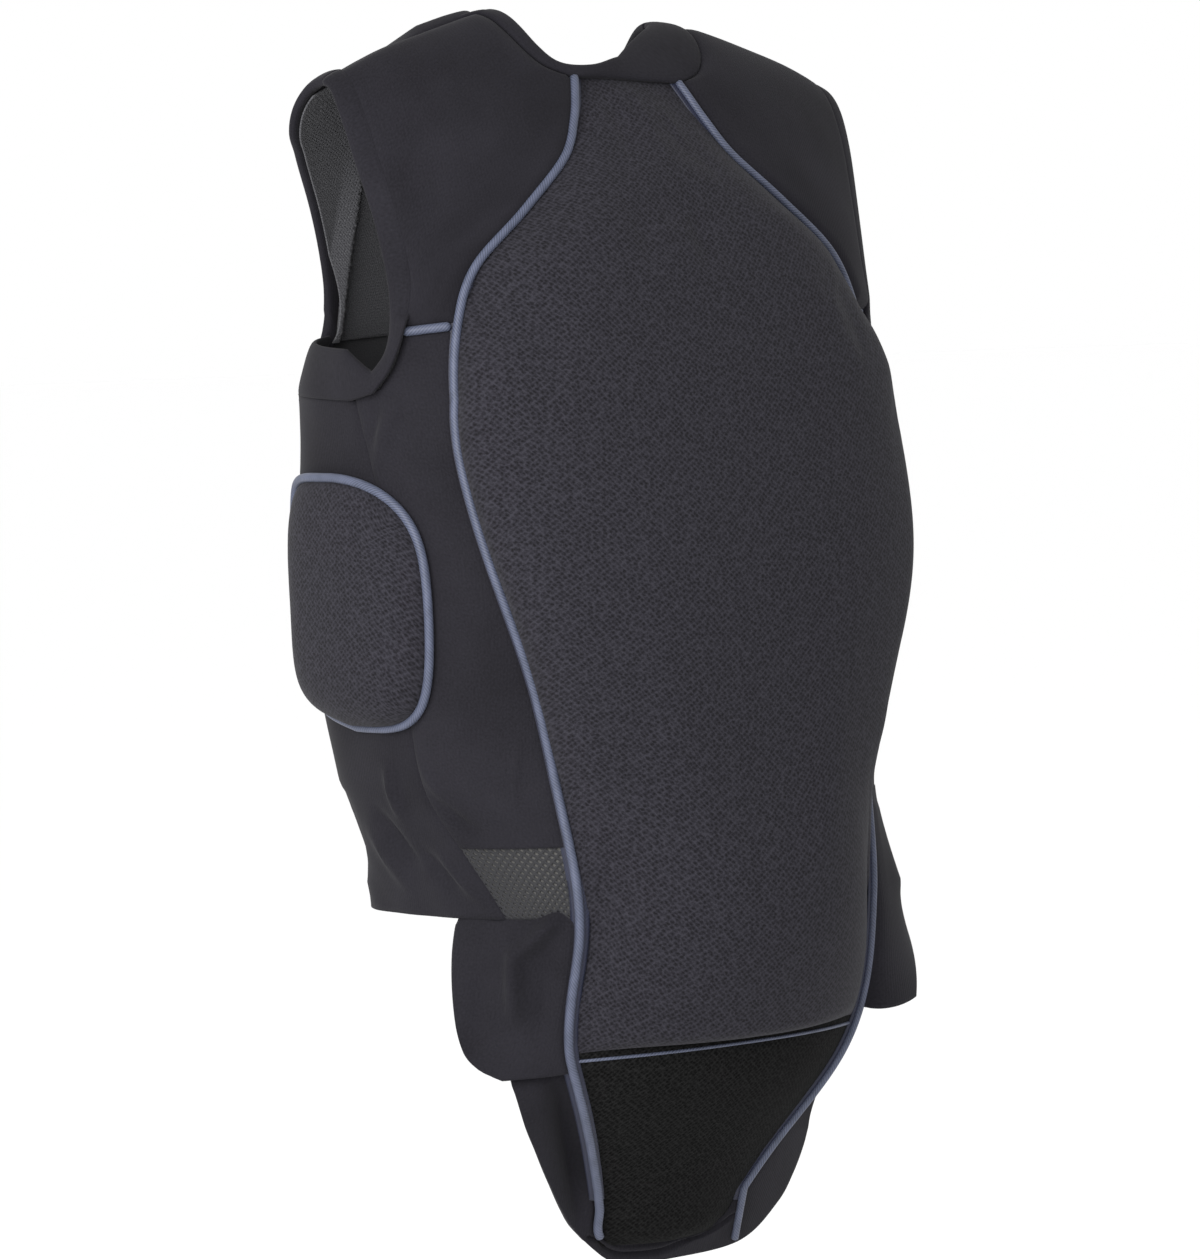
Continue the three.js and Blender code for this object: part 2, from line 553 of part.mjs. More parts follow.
// The paired pieces of the left and the right side.
for (const [name, { side, bottom, flare, hemFlare }] of Object.entries(WINGS)) {
  // Yoke: the padded shoulder panel between the back pad, the neck and the armhole.
  const besideNeck = neckBackSeam.filter((row) => row.girth > padEdge(PAD_TOP) + PIPING_CHANNEL);
  const neckRows = besideNeck.map((row) => row.drop).reverse();
  const yokeBottom = YOKE_SEAM - PIPING_CHANNEL;
  const besideArm = panelBesideBack.map((row) => row.drop);
  const lowYokeRows = besideArm.filter((drop) => drop > PAD_TOP && drop < yokeBottom);
  const yokeRows = [SHOULDER_SEAM_DROP, ...neckRows.slice(1), NECK_CORNER];
  yokeRows.push(...halved([...lowYokeRows, yokeBottom]));
  const yokeFrom = (drop) => (drop < PAD_TOP ? besideNeckBack(drop) : besidePiping(drop));
  const yokeTo = (drop) => girthOn(panelBesideBack, drop);
  const yoke = panel(side, yokeRows, YOKE_COLUMNS, yokeFrom, yokeTo, cloth(YOKE_THICKNESS));
  add(`yoke_${name}`, yoke, softshell);

  // Armhole band: a soft bound edge right round the arm opening.
  const bandStations = [];
  for (const face of ['back', 'front']) {
    const edge = armholeLine(face, 0);
    const outside = armholeLine(face, BAND_WIDTH);
    const sections = edge.map((point, i) => {
      const corners = [
        { at: point, height: CLOTH_INSIDE },
        { at: point, height: BAND_THICKNESS },
        { at: outside[i], height: BAND_THICKNESS },
        { at: outside[i], height: CLOTH_INSIDE },
      ];
      return corners.map(({ at, height }) => place(side, fromBack(face, at), at.drop, height));
    });
    bandStations.push(...(face === 'back' ? sections : sections.reverse().slice(1, -1)));
  }
  add(`armhole_band_${name}`, loopStrip(bandStations), softshell);

  // Side panel: stretch cloth from the yoke down to the mesh window.
  const lowSideRows = steps(SIDE_ROWS, underarm, MESH_TOP - SEAM_GAP).slice(1);
  const sideTop = YOKE_SEAM + PIPING_CHANNEL;
  const armRows = besideArm.filter((drop) => drop > sideTop + SEAM_GAP);
  const besideSeam = (drop) => sideSeam(drop) - SEAM_GAP;
  const sideTo = (drop) => (drop <= underarm ? girthOn(panelBesideBack, drop) : besideSeam(drop));
  const sideRows = [sideTop, ...armRows, ...lowSideRows];
  const sidePanel = panel(side, sideRows, SIDE_COLUMNS, besidePiping, sideTo, cloth(PANEL_THICKNESS));
  add(`side_panel_${name}`, sidePanel, softshell);

  // Mesh window: an open vent between the back pad and the diagonal front edge.
  const hemLift = (drop, girth) => {
    const [start, full, fade, end] = HEM_FLARE_GIRTHS;
    const within = THREE.MathUtils.smoothstep(girth, start, full) - THREE.MathUtils.smoothstep(girth, fade, end);
    const down = Math.max((drop - HEM_FLARE_TOP) / (HEM - HEM_FLARE_TOP), 0);
    return hemFlare * within * down ** HEM_FLARE_GROWTH;
  };
  const meshRows = steps(MESH_ROWS, MESH_TOP + SEAM_GAP, HEM);
  const meshHeights = (drop, part, girth) => {
    const lift = hemLift(drop, girth);
    return [CLOTH_INSIDE + lift, MESH_THICKNESS + lift];
  };
  const meshWindow = panel(side, meshRows, MESH_COLUMNS, besidePiping, besideSeam, meshHeights);
  add(`mesh_window_${name}`, meshWindow, openMesh);

  // Front panel: from the side seam and the armhole to the zip, thicker at its shoulder end.
  const chestRows = panelBesideFront.map((row) => row.drop);
  const collarRows = [...neckFrontSeam.slice(1).map((row) => row.drop), NECK_FRONT_DROP];
  const frontRows = [...chestRows, ...collarRows, ...steps(FRONT_ROWS, underarm, HEM).slice(1)];
  frontRows.sort((a, b) => a - b);
  const besideFront = (drop) => halfGirth(drop) - girthOn(panelBesideFront, drop);
  const frontFrom = (drop) => (drop <= underarm ? besideFront(drop) : sideSeam(drop) + SEAM_GAP);
  const zipEdge = ZIP_HALF_WIDTH + SEAM_GAP;
  const frontEdge = (drop) => (drop < NECK_FRONT_DROP ? Math.max(zipEdge, besideNeckFront(drop)) : zipEdge);
  const frontTo = (drop) => halfGirth(drop) - frontEdge(drop);
  const frontHeights = (drop, part, girth) => {
    const fromFront = halfGirth(drop) - girth;
    const fadeStart = SHOULDER_END_GIRTH - SHOULDER_END_FADE;
    const nearNeck = 1 - THREE.MathUtils.smoothstep(fromFront, fadeStart, SHOULDER_END_GIRTH);
    const nearCrest = Math.max(1 - drop / SHOULDER_END_DROP, 0);
    const lift = hemLift(drop, girth);
    return [CLOTH_INSIDE + lift, PANEL_THICKNESS + SHOULDER_END_EXTRA * nearNeck * nearCrest + lift];
  };
  const frontPanel = panel(side, frontRows, FRONT_COLUMNS, frontFrom, frontTo, frontHeights);
  add(`front_panel_${name}`, frontPanel, softshell);

  // Front lining: open mesh on the inside of the chest, seen through the armhole.
  const liningRows = chestRows.filter((drop) => drop > LINING_TOP && drop < YOKE_SEAM);
  const liningTo = (drop) => halfGirth(drop) - LINING_GIRTH;
  const liningHeights = () => [LINING_INSIDE, LINING_OUTSIDE];
  const lining = panel(side, liningRows, LINING_COLUMNS, besideFront, liningTo, liningHeights);
  add(`front_lining_${name}`, lining, openMesh);

  // Side pad: a rounded padded patch on the flank, framed by its own piping.
  const sideOutline = (u, v, extra) => {
    const topSlant = SIDE_PAD_TOP_SLANT * Math.max(-u, 0) ** 2;
    const bottomSlant = SIDE_PAD_BOTTOM_RISE + SIDE_PAD_BOTTOM_SLANT * Math.max(u, 0);
    const halfHeight = SIDE_PAD_HALF_HEIGHT - (v < 0 ? topSlant : bottomSlant);
    return {
      girth: SIDE_PAD_GIRTH + u * (SIDE_PAD_HALF_WIDTH + extra),
      drop: SIDE_PAD_DROP + v * (halfHeight + extra),
    };
  };
  const power = SIDE_PAD_ROUNDNESS;
  const roundness = (u, v) => (Math.abs(u) ** power + Math.abs(v) ** power) ** (-1 / power);
  const sideSteps = SIDE_PAD_STEPS + 1;
  add(`side_pad_${name}`, wall(sideSteps, sideSteps, (row, column, isOuter) => {
    const u = Math.sin(Math.PI * (column / SIDE_PAD_STEPS - 0.5));
    const v = Math.sin(Math.PI * (row / SIDE_PAD_STEPS - 0.5));
    const ring = Math.max(Math.abs(u), Math.abs(v));
    const pull = ring > 0 ? ring * roundness(u, v) : 0;
    const { girth, drop } = sideOutline(u * pull, v * pull, 0);
    const toEdge = (1 - ring) * SIDE_PAD_HALF_WIDTH;
    const full = SIDE_PAD_FULL + SIDE_PAD_LOW_FULLNESS * v;
    const outer = blend(SIDE_PAD_RIM, full, rise(toEdge / SIDE_PAD_ROLL));
    return place(side, girth, drop, isOuter ? outer : SIDE_PAD_BASE);
  }), spacerKnit);
  const turn = steps(SIDE_PIPING_STEPS, SIDE_PIPING_JOIN, 2 * Math.PI - SIDE_PIPING_JOIN);
  const sidePiping = turn.map((angle) => {
    const u = Math.cos(angle);
    const v = Math.sin(angle);
    const pull = roundness(u, v);
    const { girth, drop } = sideOutline(u * pull, v * pull, PIPING_CHANNEL);
    return place(side, girth, drop, SIDE_PIPING_HEIGHT);
  });
  add(`side_pad_piping_${name}`, cord(sidePiping, SIDE_PIPING_STEPS), pipingCloth);

  // Hip wing: a free flap beside the low back that stands away from the body at its corner.
  const wingRows = steps(WING_ROWS, WING_TOP, bottom);
  const wingShare = (drop) => (drop - WING_TOP) / (bottom - WING_TOP);
  const wingTo = (drop) => along(WING_EDGE, 'girth', wingShare(drop), 'share');
  const wingHeights = (drop, part) => {
    const lift = part * blend(hemFlare, flare, wingShare(drop) ** WING_FLARE_GROWTH);
    return [CLOTH_INSIDE + lift, PANEL_THICKNESS + lift];
  };
  const wing = panel(side, wingRows, WING_COLUMNS, besidePiping, wingTo, wingHeights);
  add(`hip_wing_${name}`, wing, softshell);

  // Piping along the back pad from the neck to the tail, and the short one under the yoke.
  const pipingRows = steps(PIPING_STEPS, PIPING_TOP, PIPING_END);
  const pipingPoints = pipingRows.map((drop) => place(side, padEdge(drop), drop, PIPING_HEIGHT));
  add(`piping_${name}`, cord(pipingPoints, PIPING_STEPS), pipingCloth);
  const yokeEnds = [besidePiping(YOKE_SEAM), girthOn(panelBesideBack, YOKE_SEAM) - SEAM_GAP];
  const yokeGirths = steps(YOKE_PIPING_STEPS, ...yokeEnds);
  const yokePoints = yokeGirths.map((girth) => place(side, girth, YOKE_SEAM, PIPING_HEIGHT));
  add(`yoke_piping_${name}`, cord(yokePoints, YOKE_PIPING_STEPS), pipingCloth);
}

export default protector;
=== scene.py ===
import math

import bmesh
import bpy
import numpy as np
from mathutils import Matrix, Vector, noise


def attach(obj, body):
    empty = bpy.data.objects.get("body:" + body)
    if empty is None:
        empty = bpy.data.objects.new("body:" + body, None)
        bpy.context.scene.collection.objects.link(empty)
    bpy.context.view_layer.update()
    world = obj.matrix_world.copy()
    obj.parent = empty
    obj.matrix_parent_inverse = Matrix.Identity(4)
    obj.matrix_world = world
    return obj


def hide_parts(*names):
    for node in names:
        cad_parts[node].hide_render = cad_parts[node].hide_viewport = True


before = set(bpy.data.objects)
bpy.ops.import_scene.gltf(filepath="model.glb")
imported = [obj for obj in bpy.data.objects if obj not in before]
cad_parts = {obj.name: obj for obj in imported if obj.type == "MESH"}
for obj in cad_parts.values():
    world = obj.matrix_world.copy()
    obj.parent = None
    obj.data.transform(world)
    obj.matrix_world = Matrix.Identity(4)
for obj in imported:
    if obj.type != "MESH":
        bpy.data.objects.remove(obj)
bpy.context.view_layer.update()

# Camera. It stands behind the vest and to its left, a little above the middle of the back, with a
# long lens, so that the shoulders and the tail keep their true proportions.
MM = 0.001
PHOTO_WIDTH = 1200
PHOTO_HEIGHT = 1259
CAMERA_AZIMUTH = math.radians(144.2)
CAMERA_ELEVATION = math.radians(3.5)
CAMERA_ROLL = math.radians(2.06)
CAMERA_DISTANCE = 3.6
CAMERA_TARGET = Vector((0, 0, -0.33))
TARGET_PIXEL = (599, 626)
PIXEL = 0.55 * MM
SENSOR = 36
flat_right = Vector((math.cos(CAMERA_AZIMUTH), math.sin(CAMERA_AZIMUTH), 0))
toward = Matrix.Rotation(-CAMERA_ELEVATION, 3, flat_right) @ Vector(
    (math.sin(CAMERA_AZIMUTH), -math.cos(CAMERA_AZIMUTH), 0)
)
roll_turn = Matrix.Rotation(-CAMERA_ROLL, 3, toward)
camera_right = roll_turn @ flat_right
camera_up = toward.cross(camera_right)
camera_data = bpy.data.cameras.new("camera")
camera_data.sensor_width = SENSOR
camera_data.lens = SENSOR * CAMERA_DISTANCE / (PHOTO_HEIGHT * PIXEL)
camera = bpy.data.objects.new("camera", camera_data)
bpy.context.scene.collection.objects.link(camera)
camera.matrix_world = Matrix((camera_right, camera_up, toward)).transposed().to_4x4()
camera.location = (
    CAMERA_TARGET
    + toward * CAMERA_DISTANCE
    + camera_right * (PHOTO_WIDTH / 2 - TARGET_PIXEL[0]) * PIXEL
    + camera_up * (TARGET_PIXEL[1] - PHOTO_HEIGHT / 2) * PIXEL
)
bpy.context.scene.camera = camera

# Front panels. Stretch softshell, a smooth knit face bonded to a thin backing, cut from the shoulder to
# the hem and sewn to the zip, the neck band, the armhole band and the side panel.
# Everything is laid on one body form, by girth round it from the centre back and drop below the shoulder.
# The wearer's left is positive.
SIDES = {"left": 1, "right": -1}
UNDERARM_DROP = 200
BACK_ROLL = 0.5
FRONT_ROLL = 0.4
SECTION_POWER = 2.35
FRONT_SQUARENESS = 1.8
# Columns: distance from the middle where the shoulder starts to fall, and where its tip falls more; slope.
SHOULDER_FALLS = [(62, 0.308), (130, 0.16)]
SHOULDER_SOFTNESS = 12
LEFT_RAISE = 7.5
RAISE_SPREAD = 40
RAISE_FADE = 3
# Columns: drop, half width, back depth, front depth, shift.
SECTIONS = [
    (0, 178, 100, 104, 0),
    (200, 168, 105, 105, 0),
    (300, 168, 126, 112, 0),
    (400, 150, 127, 104, -3),
    (480, 137, 130, 97, 6),
    (560, 148, 111, 96, -6),
    (620, 145, 88, 90, -26),
    (690, 130, 71, 80, -51),
]
RING_ROWS = 220
RING_STEP = 2
RING_STEPS = 480
ANGLE_PROBE = 0.004
DROP_PROBE = 0.5
GRID_HALF = 0.5
CROWDING = 0.11
HEM = 476
CLOTH_INSIDE = 0.4
PANEL_THICKNESS = 3
SEAM_HEIGHT = 0.7
SEAM_ROLL = 6
SEAM_LAP = 1
FOLD_FADE = 14
SHOULDER_LINE = 0
# Columns: drop, girth from the centre back, girth from the centre front.
ARMHOLE = [
    (0, 174, 173),
    (15, 174, 175),
    (30, 173, 170),
    (45, 172, 159),
    (85, 168, 136),
    (125, 167, 121),
    (150, 170, 118),
    (168, 176, 125),
    (180, 186, 151),
]
ARMHOLE_BOTTOM = 184
ARMHOLE_BOTTOM_GIRTH = 203
ARMHOLE_ROUNDING = 120
ARMHOLE_ROWS = 90
BAND_WIDTH = 14
SEAM_TUCK = 3
UNDERARM_SEAM = ARMHOLE_BOTTOM + BAND_WIDTH - SEAM_TUCK
# Columns: drop, girth of the seam between the side panel and the front panel.
SIDE_SEAM = [(198.5, 203), (240, 197), (330, 192), (405, 183), (440, 165), (478, 142)]
# Columns: girth and drop of the open edge, girth and drop of the seam, from the shoulder to the zip.
NECK_FRONT = [(56, 0, 67, 0), (54, 12, 64, 16), (47, 35, 56, 42), (29, 60, 36, 68), (8.5, 74, 8.5, 83)]
NECK_SAMPLES = 120
ZIP_HALF_WIDTH = 7.5
FRONT_COLUMNS = 72
FRONT_ROWS = 140
# Columns: girth and drop of one end, girth and drop of the other, width, rise.
FRONT_FOLDS = [
    (208, 392, 203, 426, 4, 4.8),
    (228, 416, 196, 454, 4.5, -5.4),
    (240, 426, 206, 466, 5, 4.4),
    (184, 442, 150, 470, 3.5, 4.0),
    (200, 436, 168, 464, 4.5, -4.0),
    (270, 408, 270, 462, 15, -6.0),
]
# How far the hem stands off the body on the left and on the right.
HEM_FLARE = {1: 0, -1: 14.5}
HEM_FLARE_TOP = 432
HEM_FLARE_GIRTHS = (103, 150, 190, 260)
HEM_FLARE_GROWTH = 1.2
SHOULDER_EXTRA = 5
SHOULDER_EXTRA_DROP = 10
SHOULDER_EXTRA_START = 8
SHOULDER_EXTRA_GIRTHS = (98, 118)
WRINKLE_START = 350
WRINKLE_REACH = 100
WRINKLE_ABOVE = 0.5
WRINKLE_BELOW = 0.9
# Soft folds all over the cloth: size across and down, seed, height.
FRONT_RIPPLE = (30, 90, 1.5, 1)
FRONT_SLANT_RIPPLE = (22, 60, 5.5, 0.6)
SOFTSHELL_DARK = "#161519"
SOFTSHELL_LIGHT = "#212025"
# A wave texture of scale 1 repeats after this length.
WAVE_REPEAT = math.pi / 10
SOFTSHELL_RIB = 1.7 * MM
SOFTSHELL_GRAIN = 1.3 * MM
SOFTSHELL_MOTTLE = 55 * MM
INSIDE_DARK = "#2c2c2e"
INSIDE_LIGHT = "#3d3d3f"
PALE_DARK = "#444342"
PALE_LIGHT = "#5c5b59"
TRICOT_NAP = 0.7 * MM


def smooth(rows, column, at):
    """A smooth curve through one column of a table, by the table's first column."""
    keys = np.array([row[0] for row in rows], float)
    values = np.array([row[column] for row in rows], float)
    slopes = np.gradient(values)
    slopes[1:-1] = (values[2:] - values[:-2]) / (keys[2:] - keys[:-2])
    slopes[0] = (values[1] - values[0]) / (keys[1] - keys[0])
    slopes[-1] = (values[-1] - values[-2]) / (keys[-1] - keys[-2])
    at = np.clip(at, keys[0], keys[-1])
    i = np.clip(np.searchsorted(keys, at) - 1, 0, len(keys) - 2)
    span = keys[i + 1] - keys[i]
    t = (at - keys[i]) / span
    start = (values[i] * (1 + 2 * t) + slopes[i] * span * t) * (1 - t) ** 2
    return start + (values[i + 1] * (3 - 2 * t) + slopes[i + 1] * span * (t - 1)) * t**2


def form_point(angle, drop):
    """Points of the body form. The angle is 0 at the centre back and pi at the centre front."""
    is_front = np.cos(angle) < 0
    depth = np.where(is_front, smooth(SECTIONS, 3, drop), smooth(SECTIONS, 2, drop))
    share = np.clip(drop / UNDERARM_DROP, 0, 1)
    power = SECTION_POWER + np.where(is_front, FRONT_SQUARENESS * (1 - share), 0)
    across = np.abs(np.sin(angle) / smooth(SECTIONS, 1, drop)) ** power
    radius = (across + np.abs(np.cos(angle) / depth) ** power) ** (-1 / power)
    x = radius * np.sin(angle)
    fall = np.zeros_like(x)
    for start, slope in SHOULDER_FALLS:
        past = np.abs(x) - start
        fall += slope * (past + np.hypot(past, SHOULDER_SOFTNESS)) / 2
    roll = share ** np.where(is_front, FRONT_ROLL, BACK_ROLL)
    y = smooth(SECTIONS, 4, drop) + radius * np.cos(angle) * roll
    return np.stack([x, y, -drop - fall * (1 - share)], -1)


def length_along(points):
    """The length from a line's first point to each of its points."""
    strides = np.linalg.norm(np.diff(points, axis=0), axis=1)
    return np.concatenate([[0], np.cumsum(strides)])


ring_drops = np.concatenate([
    UNDERARM_DROP * np.linspace(0, 1, RING_ROWS) ** 2,
    np.arange(UNDERARM_DROP + RING_STEP, SECTIONS[-1][0] + RING_STEP, RING_STEP),
])
ring_angles = np.linspace(0, np.pi, RING_STEPS + 1)
ring_points = form_point(ring_angles[None, :], ring_drops[:, None])
ring_lengths = np.zeros(ring_points.shape[:2])
ring_lengths[:, 1:] = np.cumsum(np.linalg.norm(np.diff(ring_points, axis=1), axis=2), axis=1)
ring_table = np.array([
    np.interp(np.linspace(0, row[-1], RING_STEPS + 1), row, ring_angles) for row in ring_lengths
])
quarter = RING_STEPS // 4
runs = {}
for face, column in (("back", quarter), ("front", 3 * quarter)):
    runs[face] = length_along(ring_points[:, column])


def half_girth(drop):
    return np.interp(drop, ring_drops, ring_lengths[:, -1])


def angle_at(girth, drop):
    """The angle of the body form at a girth, read between the rows and columns of the ring table."""
    level = np.interp(drop, ring_drops, np.arange(len(ring_drops)))
    row = np.clip(level.astype(int), 0, len(ring_drops) - 2)
    turn = np.clip(girth / half_girth(drop), 0, 1) * RING_STEPS
    column = np.clip(turn.astype(int), 0, RING_STEPS - 1)
    part = turn - column
    upper = ring_table[row, column] * (1 - part) + ring_table[row, column + 1] * part
    lower = ring_table[row + 1, column] * (1 - part) + ring_table[row + 1, column + 1] * part
    return upper + (lower - upper) * (level - row)


def place(girth, drop, height):
    """Points in metres at a height above the body form. Girth is positive on the wearer's left."""
    girth, drop, height = np.broadcast_arrays(*(np.asarray(a, float) for a in (girth, drop, height)))
    angle = angle_at(np.abs(girth), drop)
    is_front = np.cos(angle) < 0
    low = np.where(is_front, np.pi / 2 + ANGLE_PROBE, -np.pi)
    high = np.where(is_front, 2 * np.pi, np.pi / 2 - ANGLE_PROBE)
    round_it = form_point(np.minimum(angle + ANGLE_PROBE, high), drop)
    round_it = round_it - form_point(np.maximum(angle - ANGLE_PROBE, low), drop)
    down = form_point(angle, drop + DROP_PROBE) - form_point(angle, np.maximum(drop - DROP_PROBE, 0))
    normal = np.cross(round_it, down)
    normal /= np.linalg.norm(normal, axis=-1, keepdims=True)
    point = form_point(angle, drop) + normal * height[..., None]
    x = np.where(girth < 0, -1, 1) * point[..., 0]
    lift = 1 - np.clip(drop / UNDERARM_DROP, 0, 1)
    raised = point[..., 2] + LEFT_RAISE * x / (np.abs(x) + RAISE_SPREAD) * lift**RAISE_FADE
    return np.stack([x, point[..., 1], raised], -1) * MM


def run_between(down, top, bottom, face):
    """Drops that lie evenly along the cloth between two drops."""
    ends = np.interp([top, bottom], ring_drops, runs[face])
    return np.interp(ends[0] + (ends[1] - ends[0]) * down, runs[face], ring_drops)


def crowd(share):
    """Shares from 0 to 1 that crowd towards both ends, where a sewn edge rolls."""
    return share - CROWDING * np.sin(2 * np.pi * share)


def ease(share):
    """A share from 0 to 1 that starts and ends gently."""
    return share * share * (3 - 2 * share)


def rolled(distance, roll):
    """A quarter-round rise from 0 at a sewn edge to 1 at the far side of its roll."""
    return np.sqrt(1 - (1 - np.clip(distance / roll, 0, 1)) ** 2)


def panel_height(to_edge, thickness=PANEL_THICKNESS, roll=SEAM_ROLL):
    """The height of a panel's face, which rolls down to its seams."""
    return SEAM_HEIGHT + (thickness - SEAM_HEIGHT) * rolled(to_edge, roll)


def armhole_line(face, distance):
    """Girth and drop of the line at a distance outside the armhole edge, from the shoulder down."""
    roll = FRONT_ROLL if face == "front" else BACK_ROLL
    drops = ARMHOLE[-1][0] * np.linspace(0, 1, ARMHOLE_ROWS) ** (1 / roll)
    turn = ease(np.clip((drops - ARMHOLE_ROUNDING) / (ARMHOLE_BOTTOM - ARMHOLE_ROUNDING), 0, 1))
    girth = smooth(ARMHOLE, 2 if face == "front" else 1, drops) - distance * (1 - turn)
    drop = drops + distance * turn
    if face == "front":
        girth = half_girth(drop) - girth
    return np.append(girth, ARMHOLE_BOTTOM_GIRTH), np.append(drop, ARMHOLE_BOTTOM + distance)


def beside_arm(face, drop):
    """The girth of a panel's edge, tucked under the armhole band."""
    girth, line = armhole_line(face, BAND_WIDTH - SEAM_TUCK)
    return np.interp(drop, line, girth)


def neck_line(rows, girth_column, roll):
    """Girth and drop along one line of the neck, from the first row to the last."""
    keyed = [
        (i, row[girth_column], (row[girth_column + 1] / UNDERARM_DROP) ** roll) for i, row in enumerate(rows)
    ]
    at = np.linspace(0, len(rows) - 1, NECK_SAMPLES)
    return smooth(keyed, 1, at), UNDERARM_DROP * np.maximum(smooth(keyed, 2, at), 0) ** (1 / roll)


def ripple(girth, drop, folds, shift=0):
    """Soft folds in cloth. The shift gives other folds of the same kind."""
    across, down, seed, height = folds
    points = [Vector((g / across, d / down, seed + shift)) for g, d in zip(girth, drop)]
    return height * np.array([noise.noise(point) for point in points])


def crease(girth, drop, rows):
    """The height of soft ridges and creases, each along a line between two points."""
    height = np.zeros_like(girth)
    for girth_a, drop_a, girth_b, drop_b, width, rise in rows:
        length = math.hypot(girth_b - girth_a, drop_b - drop_a)
        toward_b = ((girth_b - girth_a) / length, (drop_b - drop_a) / length)
        along = ((girth - girth_a) * toward_b[0] + (drop - drop_a) * toward_b[1]) / length
        aside = (girth - girth_a) * toward_b[1] - (drop - drop_a) * toward_b[0]
        height += rise * np.exp(-((aside / width) ** 2)) * np.sin(np.pi * np.clip(along, 0, 1))
    return height


def new_grid(columns, rows):
    """A flat grid, with each point's shares of the way across and down."""
    bm = bmesh.new()
    bmesh.ops.create_grid(bm, x_segments=columns, y_segments=rows, size=GRID_HALF)
    return bm, np.array([vert.co[:2] for vert in bm.verts]) + GRID_HALF


def move_points(verts, points):
    """Moves each point of a mesh to its place."""
    for vert, point in zip(verts, points):
        vert.co = point


def lay_cloth(columns, rows, lay, side):
    """A sheet of cloth on the body form. lay turns shares across and down into girth, drop and height."""
    bm, shares = new_grid(columns, rows)
    girth, drop, height = lay(shares[:, 0], shares[:, 1])
    points = place(side * girth, drop, height)
    move_points(bm.verts, points)
    lines = np.lexsort((shares[:, 1], shares[:, 0])).reshape(columns + 1, rows + 1)
    run = np.zeros(len(points))
    run[lines[:, 1:]] = np.cumsum(np.linalg.norm(np.diff(points[lines], axis=1), axis=2), axis=1)
    lie_flat(bm, np.stack([side * girth * MM, run], -1))
    if side < 0:
        bmesh.ops.reverse_faces(bm, faces=bm.faces[:])
    return bm


def lie_flat(bm, flat):
    """Gives the cloth a map of its flat cut, in metres, for the weave to follow."""
    cut = bm.loops.layers.uv.new("cut")
    bm.verts.index_update()
    for face in bm.faces:
        for loop in face.loops:
            loop[cut].uv = flat[loop.vert.index]


def sew(name, bm, cloth, slot, *nodes):
    """Makes the mesh a piece of the vest, in place of its solid."""
    mesh = bpy.data.meshes.new(name)
    bm.to_mesh(mesh)
    bm.free()
    mesh.shade_smooth()
    mesh.materials.append(cloth)
    piece = bpy.data.objects.new(name, mesh)
    bpy.context.scene.collection.objects.link(piece)
    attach(piece, "root")
    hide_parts(*nodes)
    return piece


def thicken(piece, thickness, lining=None):
    """Gives a laid sheet its thickness, inwards from its face, with a lining on the inner side."""
    wall = piece.modifiers.new("thickness", "SOLIDIFY")
    wall.thickness = thickness * MM
    wall.offset = -1
    if lining:
        piece.data.materials.append(lining)
        wall.material_offset = 1


def linear(colour):
    """An sRGB hex colour as linear values."""
    parts = [int(colour[i : i + 2], 16) / 255 for i in (1, 3, 5)]
    return [*(p / 12.92 if p <= 0.04045 else ((p + 0.055) / 1.055) ** 2.4 for p in parts), 1]


def add(material, kind, links=(), stops=(), **settings):
    """Adds a node with its settings, its input values or links, and the stops of a colour ramp."""
    tree = material.node_tree
    made = tree.nodes.new(kind)
    for name, value in settings.items():
        setattr(made, name, value)
    for socket, value in dict(links).items():
        if isinstance(value, bpy.types.NodeSocket):
            tree.links.new(value, made.inputs[socket])
        else:
            made.inputs[socket].default_value = value
    for i, (position, colour) in enumerate(stops):
        if i == len(made.color_ramp.elements):
            made.color_ramp.elements.new(position)
        made.color_ramp.elements[i].position = position
        made.color_ramp.elements[i].color = linear(colour)
    return made


def new_material(name):
    """An empty node material."""
    material = bpy.data.materials.new(name)
    material.use_nodes = True
    material.node_tree.nodes.clear()
    return material


# Bonded stretch knit. Its smooth brushed face is matt charcoal with a soft bloom towards the edges,
# and fine ribs that are drawn a little coarser than the real ones, so that they show.
softshell = new_material("bonded_stretch_softshell")
cut = add(softshell, "ShaderNodeTexCoord").outputs["UV"]
rib = add(softshell, "ShaderNodeTexWave", {
    "Vector": cut, "Scale": WAVE_REPEAT / SOFTSHELL_RIB, "Distortion": 1.5, "Detail": 1,
    "Detail Scale": 3})
grain = add(softshell, "ShaderNodeTexNoise", {"Vector": cut, "Scale": 1 / SOFTSHELL_GRAIN, "Detail": 3})
mottle = add(softshell, "ShaderNodeTexNoise", {"Vector": cut, "Scale": 1 / SOFTSHELL_MOTTLE, "Detail": 4})
face_mix = add(softshell, "ShaderNodeMix", {
    "Factor": 0.5, "A": grain.outputs["Fac"], "B": mottle.outputs["Fac"]})
face_colour = add(softshell, "ShaderNodeValToRGB", {"Fac": face_mix.outputs["Result"]},
                  stops=[(0.36, SOFTSHELL_DARK), (0.66, SOFTSHELL_LIGHT)])
relief = add(softshell, "ShaderNodeMix", {
    "Factor": 0.45, "A": rib.outputs["Fac"], "B": grain.outputs["Fac"]})
bump = add(softshell, "ShaderNodeBump", {
    "Strength": 0.35, "Distance": 0.25 * MM, "Height": relief.outputs["Result"]})
shader = add(softshell, "ShaderNodeBsdfPrincipled", {
    "Base Color": face_colour.outputs["Color"], "Roughness": 0.85, "Specular IOR Level": 0.08,
    "Sheen Weight": 0.03, "Sheen Roughness": 0.5, "Normal": bump.outputs["Normal"]})
add(softshell, "ShaderNodeOutputMaterial", {"Surface": shader.outputs["BSDF"]})

